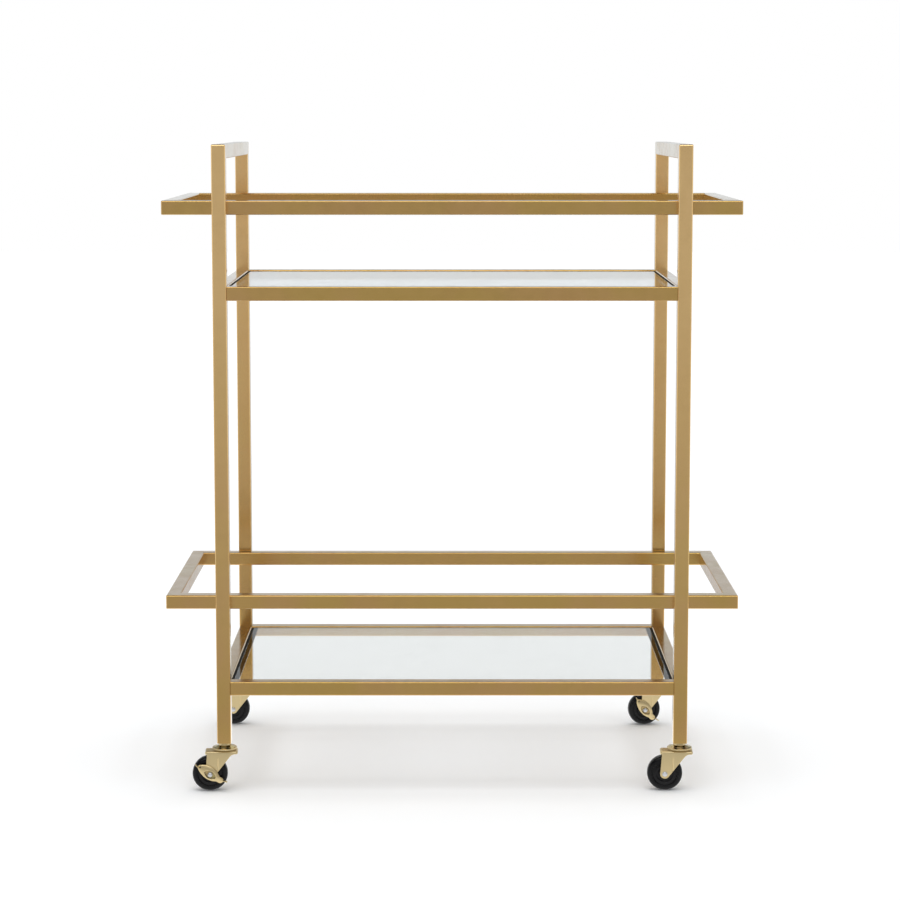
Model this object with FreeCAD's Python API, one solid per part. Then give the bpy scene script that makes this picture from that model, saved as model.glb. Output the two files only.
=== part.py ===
import FreeCAD, Part
import math
import os

# Bar cart: a welded frame of square tube with two glass shelves, two gallery rails that stand out past
# the legs at both ends, and four swivel casters. Millimetres. The origin is on the floor under the
# middle of the cart, +Z is up, +X runs to the right along the rails and -Y faces the front.

# Frame tube
tube_size = 20.0
tube_wall = 1.2
tube_corner_radius = 2.0
mitre_round = 2.0
mitre_round_ease = 0.3

# Frame layout: the lower shelf goes by the floor and the upper shelf by the handles
overall_height = 925.0
leg_spread = 674.0
leg_depth = 406.0
rail_length = 820.0
upper_rail_drop = 79.0
upper_rail_rise = 120.0
lower_rail_rise = 122.0
lower_shelf_top = 160.0

# Glass panes with their edge trim, and the ledges that carry them
glass_thickness = 5.0
glass_recess = 1.5
glass_corner_radius = 4.0
glass_edge_chamfer = 0.5
trim_width = 3.2
ledge_width = 10.0
ledge_thickness = 2.0

# Inserts in the leg bottoms
insert_length = 30.0
insert_clearance = 0.1

# Caster stem
stem_radius = 4.0
stem_thread_length = 26.0
stem_hex_across_flats = 15.0
stem_hex_height = 4.0
stem_foot_radius = 6.5
stem_foot_height = 2.0
stem_clearance = 0.08

# Caster cap and ball race
cap_radius = 17.7
cap_height = 4.6
cap_seat_radius = 9.5
cap_rim_height = 1.9
cap_edge_radius = 0.7
ball_diameter = 3.0
ball_count = 14
ball_clearance = 0.1
race_radius = 7.0
race_depth = 0.8

# Caster fork
fork_sheet = 2.0
fork_bend_radius = 0.5
fork_corner_radius = 2.6
fork_headroom = 6.0
fork_side_gap = 1.2
fork_boss_radius = 6.8
fork_rake = 2.6
fork_lip = 2.6
fork_nose = 1.1
fork_nose_radius = 2.0
fork_lead = 10.3
fork_flare_radius = 10.0
fork_crease_radius = 1.4
fork_crease_depth = 0.5
fork_crease_place = 9.4
fork_crease_drop = 8.0
caster_trail = 21.0

# Wheel, its bush and its axle
wheel_diameter = 50.8
wheel_width = 16.5
wheel_tread_radius = 5.0
wheel_hub_radius = 9.0
wheel_hub_gap = 0.35
wheel_rim_depth = 7.6
wheel_dish_depth = 1.6
wheel_edge_radius = 0.6
bush_radius = 4.0
bush_clearance = 0.08
axle_radius = 2.5
axle_clearance = 0.06
axle_head_radius = 3.8
axle_head_height = 2.6
axle_head_dome = 1.4
axle_nut_across_flats = 8.0
axle_nut_height = 4.0
axle_end_length = 0.8

# Brake lever
lever_length = 42.0
lever_crown = 10.6
lever_keel = 7.4
lever_tip_width = 3.4
lever_tip_rise = 2.4
lever_foot_width = 8.8
lever_foot_length = 8.5
lever_blend_radius = 8.0
lever_sheet = 1.2
lever_clearance = 0.15
lever_dish_depth = 1.8
lever_dish_mouth = 6.0
lever_dish_floor = 4.4
lever_hole_radius = 1.2
lever_hole_inset = 3.4
lever_tab_length = 6.5
lever_tab_reach = 4.5
lever_tab_bend = 18.0

# How each caster stands: side along X and Y, turn of the fork about its stem, tilt of its brake lever
casters = {
    "front_left": {"side": (-1, -1), "turn": 3.5, "lever_tilt": 30.0},
    "front_right": {"side": (1, -1), "turn": -2.5, "lever_tilt": None},
    "rear_left": {"side": (-1, 1), "turn": -1.5, "lever_tilt": None},
    "rear_right": {"side": (1, 1), "turn": 6.5, "lever_tilt": 46.0},
}

# Heights and half widths that follow from the sizes above
upper_rail_top = overall_height - upper_rail_drop
upper_shelf_top = upper_rail_top - upper_rail_rise
lower_rail_top = lower_shelf_top + lower_rail_rise
fork_web_under = wheel_diameter + fork_headroom
fork_web_top = fork_web_under + fork_sheet
fork_lip_under = fork_web_under - fork_lip
ball_height = fork_web_top - race_depth + ball_clearance + ball_diameter / 2
cap_under = ball_height + ball_diameter / 2 + ball_clearance
cap_top = cap_under + cap_height
leg_bottom = cap_top + stem_hex_height
leg_x = (leg_spread - tube_size) / 2
leg_y = (leg_depth - tube_size) / 2
bay_x = leg_spread - 2 * tube_size
bay_y = leg_depth - 2 * tube_size
fork_inside = wheel_width / 2 + fork_side_gap
fork_outside = fork_inside + fork_sheet
lever_floor = fork_outside + lever_clearance

# How near two places must be to count as one
same_place = 0.01

x_axis = FreeCAD.Vector(1, 0, 0)
y_axis = FreeCAD.Vector(0, 1, 0)
z_axis = FreeCAD.Vector(0, 0, 1)
origin = FreeCAD.Vector(0, 0, 0)


def save(name, shape):
    """Write one piece, or a group of like pieces, under its name."""
    solids = shape.Solids
    if not solids or not shape.isValid():
        raise ValueError("bad shape: " + name)
    shape.exportStep("parts/" + name + ".step")
    print(name, len(solids), round(shape.Volume, 1))


def box(x_range, y_range, z_range):
    """A box between two values along each axis."""
    corner = FreeCAD.Vector(x_range[0], y_range[0], z_range[0])
    sizes = [span[1] - span[0] for span in (x_range, y_range, z_range)]
    return Part.makeBox(sizes[0], sizes[1], sizes[2], corner)


def long_edges(shape, direction):
    """The straight edges of a shape that run along a direction."""
    found = []
    for edge in shape.Edges:
        ends = [vertex.Point for vertex in edge.Vertexes]
        if len(ends) == 2 and (ends[1] - ends[0]).normalize().cross(direction).Length < 1e-6:
            found.append(edge)
    return found


def face_from(points):
    """A flat face with straight sides through the points."""
    return Part.Face(Part.makePolygon(points + points[:1]))


def turned(profile):
    """A solid turned about the Z axis from radius and height pairs."""
    points = [FreeCAD.Vector(radius, 0, height) for radius, height in profile]
    return face_from(points).revolve(origin, z_axis, 360)


def on_axle(shape):
    """Lay a piece made along Z on the axle, along Y."""
    laid = shape.copy()
    laid.rotate(origin, x_axis, -90)
    return laid


def hexagon(across_flats, height):
    """A hexagonal prism from z = 0 up."""
    radius = across_flats / math.sqrt(3)
    angles = [math.radians(60 * step) for step in range(6)]
    points = [FreeCAD.Vector(radius * math.cos(a), radius * math.sin(a), 0) for a in angles]
    return face_from(points).extrude(z_axis * height)


def tangent_point(point, centre, radius, side):
    """Where a line from a point touches a circle in the XZ plane; side is 1 or -1."""
    reach = point - centre
    angle = math.atan2(reach.z, reach.x) + side * math.acos(radius / reach.Length)
    return centre + FreeCAD.Vector(math.cos(angle), 0, math.sin(angle)) * radius


# Frame of square tube


def rounded_bar(length, width, radius):
    """A square bar on the Z axis with its long edges rounded."""
    half = width / 2
    bar = box((-half, half), (-half, half), (0, length))
    return bar.makeFillet(radius, long_edges(bar, z_axis))


def mitre_cutter(length, at_end):
    """The wedge that leaves the tube's -X face at full length and cuts its +X face short."""
    half = tube_size / 2
    level = length if at_end else 0
    inner = length - tube_size if at_end else tube_size
    points = [
        FreeCAD.Vector(-half, -tube_size, level),
        FreeCAD.Vector(half, -tube_size, level),
        FreeCAD.Vector(half, -tube_size, inner),
    ]
    return face_from(points).extrude(y_axis * (2 * tube_size))


def corner_cutter(length, at_end):
    """What is ground off a mitred end at the joint's outer corner, on the tube's -X face."""
    half = tube_size / 2
    reach = mitre_round + mitre_round_ease
    radius = math.hypot(reach, mitre_round_ease)
    outside = mitre_round
    level = (length - mitre_round, length + outside) if at_end else (-outside, mitre_round)
    block = box((-half - outside, mitre_round - half), (-tube_size, tube_size), level)
    height = length - reach if at_end else reach
    middle = FreeCAD.Vector(reach - half, -tube_size, height)
    return block.cut(Part.makeCylinder(radius, 2 * tube_size, middle, y_axis))


def square_tube(length, mitre_start=False, mitre_end=False):
    """A hollow square tube on the Z axis, from z = 0 up, mitred and ground round at either end."""
    outer = rounded_bar(length, tube_size, tube_corner_radius)
    bore = rounded_bar(length, tube_size - 2 * tube_wall, tube_corner_radius - tube_wall)
    tube = outer.cut(bore)
    for mitred, at_end in ((mitre_start, False), (mitre_end, True)):
        if mitred:
            tube = tube.cut(mitre_cutter(length, at_end)).cut(corner_cutter(length, at_end))
    return tube


def stand(tube, start, along, outward):
    """Turn a tube so that it runs along a direction from its start, with its -X face outward."""
    across = along.cross(outward * -1)
    turn = FreeCAD.Rotation(outward * -1, across, along, "ZXY")
    placed = tube.copy()
    placed.Placement = FreeCAD.Placement(start, turn)
    return placed


def end_frames():
    """The legs, and the handle bars that join them in pairs."""
    pieces = {}
    for side_x, side in ((-1, "left"), (1, "right")):
        for side_y, end in ((-1, "front"), (1, "rear")):
            leg = square_tube(overall_height - leg_bottom, mitre_end=True)
            start = FreeCAD.Vector(side_x * leg_x, side_y * leg_y, leg_bottom)
            pieces[end + "_" + side + "_leg"] = stand(leg, start, z_axis, y_axis * side_y)
        handle = square_tube(leg_depth, True, True)
        start = FreeCAD.Vector(side_x * leg_x, -leg_depth / 2, overall_height - tube_size / 2)
        pieces[side + "_handle_bar"] = stand(handle, start, y_axis, z_axis)
    return pieces


def shelf_bars(level, top):
    """The four bars around one shelf, butted between the legs."""
    pieces = {}
    height = top - tube_size / 2
    for side, name in ((-1, "front"), (1, "rear")):
        start = FreeCAD.Vector(-bay_x / 2, side * leg_y, height)
        pieces[level + "_shelf_" + name + "_bar"] = stand(square_tube(bay_x), start, x_axis, y_axis * side)
    for side, name in ((-1, "left"), (1, "right")):
        start = FreeCAD.Vector(side * leg_x, -bay_y / 2, height)
        pieces[level + "_shelf_" + name + "_bar"] = stand(square_tube(bay_y), start, y_axis, x_axis * side)
    return pieces


def rail_bars(level, top):
    """The four mitred bars of one gallery rail, which lies between the front and rear legs."""
    pieces = {}
    height = top - tube_size / 2
    for side, name in ((-1, "front"), (1, "rear")):
        start = FreeCAD.Vector(-rail_length / 2, side * (bay_y - tube_size) / 2, height)
        bar = square_tube(rail_length, True, True)
        pieces[level + "_rail_" + name + "_bar"] = stand(bar, start, x_axis, y_axis * side)
    for side, name in ((-1, "left"), (1, "right")):
        start = FreeCAD.Vector(side * (rail_length - tube_size) / 2, -bay_y / 2, height)
        bar = square_tube(bay_y, True, True)
        pieces[level + "_rail_" + name + "_bar"] = stand(bar, start, y_axis, x_axis * side)
    return pieces


# Glass shelves


def shelf_fill(level, top):
    """The ledges, the pane and the trim around it that fill one shelf."""
    pieces = {}
    pane_top = top - glass_recess
    pane_under = pane_top - glass_thickness
    half_x = bay_x / 2
    half_y = bay_y / 2
    for side, name in ((-1, "left"), (1, "right")):
        span = sorted((side * half_x, side * (half_x - ledge_width)))
        ledge = box(span, (-half_y, half_y), (pane_under - ledge_thickness, pane_under))
        pieces[level + "_" + name + "_ledge"] = ledge
    pane_x = half_x - trim_width
    pane_y = half_y - trim_width
    pane = box((-pane_x, pane_x), (-pane_y, pane_y), (pane_under, pane_top))
    pane = pane.makeFillet(glass_corner_radius, long_edges(pane, z_axis))
    around = box((-half_x, half_x), (-half_y, half_y), (pane_under, pane_top))
    pieces[level + "_glass_trim"] = around.cut(pane)
    rims = [face for face in pane.Faces if abs(face.normalAt(0, 0).z) > 0.99]
    pane = pane.makeChamfer(glass_edge_chamfer, [edge for face in rims for edge in face.Edges])
    pieces[level + "_glass_shelf"] = pane
    return pieces


# Casters, each made with its stem on the Z axis and its wheel trailing along -X


def leg_insert():
    """The plug in a leg's bottom end that takes the stem."""
    width = tube_size - 2 * tube_wall - 2 * insert_clearance
    plug = rounded_bar(insert_length, width, tube_corner_radius - tube_wall)
    hole = Part.makeCylinder(stem_radius + stem_clearance, insert_length)
    plug = plug.cut(hole)
    plug.translate(z_axis * leg_bottom)
    return plug


def caster_stem():
    """The stem: thread, hexagon, neck and the riveted foot under the fork."""
    foot_top = fork_web_under - stem_clearance
    foot = foot_top - stem_foot_height
    thread_end = leg_bottom + stem_thread_length
    stem = Part.makeCylinder(stem_radius, thread_end - foot, z_axis * foot)
    stem = stem.fuse(Part.makeCylinder(stem_foot_radius, stem_foot_height, z_axis * foot))
    collar = hexagon(stem_hex_across_flats, stem_hex_height)
    collar.translate(z_axis * cap_top)
    return stem.fuse(collar).removeSplitter()


def caster_cap():
    """The domed cap over the ball race, held under the stem's hexagon."""
    bore = stem_radius + stem_clearance
    rim_top = cap_under + cap_rim_height
    cap = turned(
        [
            (bore, cap_under),
            (cap_radius, cap_under),
            (cap_radius, rim_top),
            (cap_seat_radius, cap_top),
            (bore, cap_top),
        ]
    )
    rim = [edge for edge in cap.Edges if edge.BoundBox.XLength > 2 * cap_radius - same_place]
    rim = [edge for edge in rim if edge.BoundBox.ZLength < same_place]
    return cap.makeFillet(cap_edge_radius, rim)


def race_balls():
    """The balls between the fork and the cap."""
    balls = []
    for step in range(ball_count):
        angle = 2 * math.pi * step / ball_count
        place = FreeCAD.Vector(race_radius * math.cos(angle), race_radius * math.sin(angle), ball_height)
        balls.append(Part.makeSphere(ball_diameter / 2, place))
    return Part.makeCompound(balls)


def fork_outline():
    """The fork seen from the side: a web with a lip at both ends, and a cheek down to a round boss."""
    axle = FreeCAD.Vector(-caster_trail, 0, wheel_diameter / 2)
    back = -caster_trail - fork_boss_radius
    nose = cap_radius + fork_nose
    lead_from = FreeCAD.Vector(fork_lead, 0, fork_lip_under)
    trail_from = FreeCAD.Vector(back + fork_rake, 0, fork_lip_under)
    lead_touch = tangent_point(lead_from, axle, fork_boss_radius, -1)
    trail_touch = tangent_point(trail_from, axle, fork_boss_radius, 1)
    lowest = axle + ((lead_touch + trail_touch) * 0.5 - axle).normalize() * fork_boss_radius
    straight = [
        trail_touch,
        trail_from,
        FreeCAD.Vector(back, 0, fork_lip_under),
        FreeCAD.Vector(back, 0, fork_web_top),
        FreeCAD.Vector(nose, 0, fork_web_top),
        FreeCAD.Vector(nose, 0, fork_lip_under),
        lead_from,
        lead_touch,
    ]
    edges = [Part.makeLine(start, end) for start, end in zip(straight, straight[1:])]
    edges.append(Part.Arc(lead_touch, lowest, trail_touch).toShape())
    return Part.Face(Part.Wire(edges))


def fork_profile():
    """The outline as a block across the fork, with its nose rounded and its flare blended in."""
    outline = fork_outline()
    block = outline.extrude(y_axis * (2 * fork_outside))
    block.translate(y_axis * -fork_outside)
    for place, radius in ((fork_lead, fork_flare_radius), (cap_radius + fork_nose, fork_nose_radius)):
        level = [e for e in long_edges(block, y_axis) if abs(e.BoundBox.ZMin - fork_lip_under) < same_place]
        block = block.makeFillet(radius, [e for e in level if abs(e.BoundBox.XMin - place) < same_place])
    return block


def pressed_block(ends, half_width, heights, corner_radius, bend_radius):
    """A block with its upright edges and then its top rim rounded, as a press would leave them."""
    block = box(ends, (-half_width, half_width), heights)
    block = block.makeFillet(corner_radius, long_edges(block, z_axis))
    rim = [edge for edge in block.Edges if edge.BoundBox.ZMin > heights[1] - same_place]
    return block.makeFillet(bend_radius, rim)


def caster_fork():
    """The pressed fork: a shallow cup and two cheeks, trimmed, with their race, holes and creases."""
    profile = fork_profile()
    ends = (profile.BoundBox.XMin, profile.BoundBox.XMax)
    low = profile.BoundBox.ZMin
    inside = (ends[0] + fork_sheet, ends[1] - fork_sheet)
    outer = (fork_corner_radius, fork_bend_radius + fork_sheet)
    inner = (fork_corner_radius - fork_sheet, fork_bend_radius)
    cup = pressed_block(ends, fork_outside, (fork_lip_under, fork_web_top), *outer)
    cup = cup.cut(pressed_block(inside, fork_inside, (fork_lip_under, fork_web_under), *inner))
    cheeks = box(ends, (-fork_outside, fork_outside), (low, fork_lip_under))
    cheeks = cheeks.cut(box(ends, (-fork_inside, fork_inside), (low, fork_lip_under)))
    fork = cup.fuse(cheeks).common(profile).removeSplitter()
    fork = fork.cut(Part.makeCylinder(stem_radius + stem_clearance, fork_web_top))
    groove = Part.makeTorus(race_radius, ball_diameter / 2 + ball_clearance, z_axis * ball_height)
    fork = fork.cut(groove)
    hole = on_axle(Part.makeCylinder(axle_radius + axle_clearance, 2 * fork_outside))
    hole.translate(FreeCAD.Vector(-caster_trail, -fork_outside, wheel_diameter / 2))
    fork = fork.cut(hole)
    for side in (-1, 1):
        centre = side * (fork_outside + fork_crease_radius - fork_crease_depth)
        foot = FreeCAD.Vector(-fork_crease_place, centre, low)
        crease = Part.makeCylinder(fork_crease_radius, fork_web_under - fork_crease_drop - low, foot)
        fork = fork.cut(crease)
    return fork


def wheel():
    """The wheel about its axle: rounded tread, dished sides and a hub that stands proud of them."""
    radius = wheel_diameter / 2
    body = Part.makeCylinder(radius, wheel_width, z_axis * (-wheel_width / 2))
    body = body.makeFillet(wheel_tread_radius, [e for e in body.Edges if e.BoundBox.ZLength < same_place])
    rim_inside = radius - wheel_rim_depth
    for side in (-1, 1):
        span = sorted((side * wheel_width / 2, side * (wheel_width / 2 - wheel_dish_depth)))
        dish = Part.makeCylinder(rim_inside, wheel_dish_depth, z_axis * span[0])
        body = body.cut(dish)
    edges = [e for e in body.Edges if abs(e.BoundBox.XLength / 2 - rim_inside) < same_place]
    body = body.makeFillet(wheel_edge_radius, [e for e in edges if e.BoundBox.ZLength < same_place])
    hub_half = fork_inside - wheel_hub_gap
    hub = Part.makeCylinder(wheel_hub_radius, 2 * hub_half, z_axis * -hub_half)
    hub = hub.makeFillet(wheel_edge_radius, [e for e in hub.Edges if e.BoundBox.ZLength < same_place])
    body = body.fuse(hub)
    bore = Part.makeCylinder(bush_radius + bush_clearance, 2 * fork_inside, z_axis * -fork_inside)
    return on_axle(body.cut(bore))


def wheel_bush():
    """The bush that the fork's cheeks clamp and the wheel turns on."""
    bush = Part.makeCylinder(bush_radius, 2 * fork_inside, z_axis * -fork_inside)
    bore = Part.makeCylinder(axle_radius + axle_clearance, 2 * fork_inside, z_axis * -fork_inside)
    return on_axle(bush.cut(bore))


def axle_bolt(braked):
    """The axle bolt with its domed head in front, over the brake lever if there is one, and its nut."""
    seat = lever_floor + lever_sheet + lever_clearance if braked else fork_outside
    nut_end = fork_outside + axle_nut_height
    shank = Part.makeCylinder(axle_radius, seat + nut_end + axle_end_length, z_axis * -seat)
    head = Part.makeCylinder(axle_head_radius, axle_head_height, z_axis * (-seat - axle_head_height))
    rim = [e for e in head.Edges if abs(e.BoundBox.ZMax + seat + axle_head_height) < same_place]
    head = head.makeFillet(axle_head_dome, rim)
    nut = hexagon(axle_nut_across_flats, axle_nut_height)
    nut = nut.cut(Part.makeCylinder(axle_radius + axle_clearance, axle_nut_height))
    nut.translate(z_axis * fork_outside)
    return on_axle(Part.makeCompound([shank.fuse(head).removeSplitter(), nut]))


def lever_plate():
    """The lever's flat plate about the axle: an eye that runs out into a straight foot with a round end."""
    half = lever_length / 2
    tip = lever_tip_width / 2
    foot = lever_foot_width / 2
    corners = [
        FreeCAD.Vector(-half, tip - lever_tip_rise, 0),
        FreeCAD.Vector(half - lever_foot_length, foot, 0),
        FreeCAD.Vector(half - foot, foot, 0),
        FreeCAD.Vector(half - foot, -foot, 0),
        FreeCAD.Vector(half - lever_foot_length, -foot, 0),
        FreeCAD.Vector(-half, -tip - lever_tip_rise, 0),
    ]
    sides = [
        Part.Arc(corners[0], y_axis * lever_keel, corners[1]).toShape(),
        Part.makeLine(corners[1], corners[2]),
        Part.Arc(corners[2], x_axis * half, corners[3]).toShape(),
        Part.makeLine(corners[3], corners[4]),
        Part.Arc(corners[4], y_axis * -lever_crown, corners[5]).toShape(),
        Part.makeLine(corners[5], corners[0]),
    ]
    plate = Part.Face(Part.Wire(sides)).extrude(z_axis * lever_sheet)
    notch = half - lever_foot_length
    notches = [e for e in long_edges(plate, z_axis) if abs(e.BoundBox.XMin - notch) < same_place]
    plate = on_axle(plate.makeFillet(lever_blend_radius, notches))
    plate.translate(y_axis * -(lever_floor + lever_dish_depth + lever_sheet))
    return plate


def lever_tab(side):
    """The tab at one end of the lever, bent up and standing out to the front."""
    half = lever_length / 2
    inner = lever_floor + lever_dish_depth
    span = (0, lever_tab_length)
    tab = box(span, (-inner - lever_sheet - lever_tab_reach, -inner), (-lever_sheet, 0))
    tab.rotate(origin, y_axis, -lever_tab_bend)
    tab.translate(FreeCAD.Vector(half - lever_sheet, 0, lever_tip_rise))
    if side < 0:
        tab = tab.mirror(origin, x_axis)
    return tab


def brake_lever(tilt):
    """The stamped brake lever: plate, dish around the axle, and a tab at each end."""
    floor = -lever_floor
    inner = floor - lever_dish_depth
    bore = axle_radius + bush_clearance
    wall = lever_dish_mouth + lever_sheet / 2
    dish = turned(
        [
            (bore, floor),
            (lever_dish_floor + lever_sheet / 2, floor),
            (wall, inner),
            (wall, inner - lever_sheet),
            (lever_dish_mouth, inner - lever_sheet),
            (lever_dish_floor, floor - lever_sheet),
            (bore, floor - lever_sheet),
        ]
    )
    mouth = Part.makeCylinder(lever_dish_mouth, 2 * lever_sheet, z_axis * (inner - lever_sheet * 1.5))
    lever = lever_plate().cut(on_axle(mouth)).fuse(on_axle(dish))
    lever = lever.fuse(lever_tab(1)).fuse(lever_tab(-1))
    hole = Part.makeCylinder(lever_hole_radius, 2 * lever_sheet, z_axis * (inner - lever_sheet * 1.5))
    hole = on_axle(hole)
    hole.translate(FreeCAD.Vector(lever_hole_inset - lever_length / 2, 0, lever_tip_rise))
    lever = lever.cut(hole).removeSplitter()
    lever.rotate(origin, y_axis, tilt)
    return lever


def caster_pieces(braked, lever_tilt):
    """One caster's own pieces, by the last word of their names."""
    axle = FreeCAD.Vector(-caster_trail, 0, wheel_diameter / 2)
    pieces = {"stem": caster_stem(), "cap": caster_cap(), "fork": caster_fork()}
    on_wheel = {"axle": axle_bolt(braked), "bush": wheel_bush(), "wheel": wheel()}
    if braked:
        on_wheel["brake_lever"] = brake_lever(lever_tilt)
    for name, shape in on_wheel.items():
        shape.translate(axle)
        pieces[name] = shape
    return pieces


def set_under_leg(shape, side, turn):
    """Turn a caster's piece about its stem and move it under its leg."""
    placed = shape.copy()
    placed.rotate(origin, z_axis, turn)
    placed.translate(FreeCAD.Vector(side[0] * leg_x, side[1] * leg_y, 0))
    return placed


def all_casters():
    """The four casters, with the inserts and the balls gathered in one group each."""
    pieces = {}
    inserts = []
    balls = []
    for corner, way in casters.items():
        braked = way["lever_tilt"] is not None
        for name, shape in caster_pieces(braked, way["lever_tilt"]).items():
            turn = 0 if name in ("stem", "cap") else way["turn"]
            pieces[corner + "_caster_" + name] = set_under_leg(shape, way["side"], turn)
        inserts.append(set_under_leg(leg_insert(), way["side"], 0))
        balls.append(set_under_leg(race_balls(), way["side"], 0))
    pieces["leg_inserts"] = Part.makeCompound(inserts)
    pieces["caster_balls"] = Part.makeCompound(balls)
    return pieces


def main():
    """Build every piece and write it."""
    os.makedirs("parts", exist_ok=True)
    pieces = end_frames()
    for level, shelf_top, rail_top in (
        ("upper", upper_shelf_top, upper_rail_top),
        ("lower", lower_shelf_top, lower_rail_top),
    ):
        pieces.update(shelf_bars(level, shelf_top))
        pieces.update(rail_bars(level, rail_top))
        pieces.update(shelf_fill(level, shelf_top))
    pieces.update(all_casters())
    for name, shape in pieces.items():
        save(name, shape)


main()
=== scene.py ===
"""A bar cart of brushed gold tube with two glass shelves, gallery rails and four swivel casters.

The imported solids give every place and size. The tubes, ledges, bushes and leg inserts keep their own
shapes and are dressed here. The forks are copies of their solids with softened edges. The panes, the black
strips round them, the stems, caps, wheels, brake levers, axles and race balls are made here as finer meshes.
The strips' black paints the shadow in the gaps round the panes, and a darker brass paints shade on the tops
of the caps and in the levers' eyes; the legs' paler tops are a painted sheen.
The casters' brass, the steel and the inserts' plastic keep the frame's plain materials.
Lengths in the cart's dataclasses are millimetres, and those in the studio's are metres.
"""

import logging
import math
from dataclasses import dataclass
from enum import Enum
from functools import cache
from typing import Callable, Iterable, Mapping, Sequence

import bmesh
import bpy
from mathutils import Matrix, Vector


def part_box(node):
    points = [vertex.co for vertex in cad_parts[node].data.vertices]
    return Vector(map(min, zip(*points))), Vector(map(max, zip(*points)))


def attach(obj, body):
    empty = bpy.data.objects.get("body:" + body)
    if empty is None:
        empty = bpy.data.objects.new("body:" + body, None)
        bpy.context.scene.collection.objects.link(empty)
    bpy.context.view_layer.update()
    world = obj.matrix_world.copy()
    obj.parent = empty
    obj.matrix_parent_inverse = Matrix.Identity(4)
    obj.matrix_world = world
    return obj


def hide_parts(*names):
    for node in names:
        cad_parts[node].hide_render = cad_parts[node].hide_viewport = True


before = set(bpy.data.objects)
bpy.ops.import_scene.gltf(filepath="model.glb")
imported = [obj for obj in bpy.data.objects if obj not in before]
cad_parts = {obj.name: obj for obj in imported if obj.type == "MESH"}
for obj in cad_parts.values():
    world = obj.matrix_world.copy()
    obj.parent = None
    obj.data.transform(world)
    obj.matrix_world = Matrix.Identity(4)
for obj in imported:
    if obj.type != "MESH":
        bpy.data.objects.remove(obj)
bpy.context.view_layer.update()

log = logging.getLogger("bar_cart")

Colour = tuple[float, float, float]
Pair = tuple[float, float]
Profile = list[Pair]
Ring = list[Vector]
Material = bpy.types.Material
Mesh = bmesh.types.BMesh
Node = bpy.types.Node
Piece = bpy.types.Object
Socket = bpy.types.NodeSocket
Tree = bpy.types.NodeTree

MM = 0.001
WHITE = (1.0, 1.0, 1.0)


class Grain(Enum):
    """The way that the brush ran over a tube: along X, Y or Z."""

    ALONG_X = "x"
    ALONG_Y = "y"
    ALONG_Z = "z"


class Level(Enum):
    """The two shelves."""

    UPPER = "upper"
    LOWER = "lower"


class Corner(Enum):
    """The four casters, by the leg that they stand under."""

    FRONT_LEFT = "front_left"
    FRONT_RIGHT = "front_right"
    REAR_LEFT = "rear_left"
    REAR_RIGHT = "rear_right"


# Node trees


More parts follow.
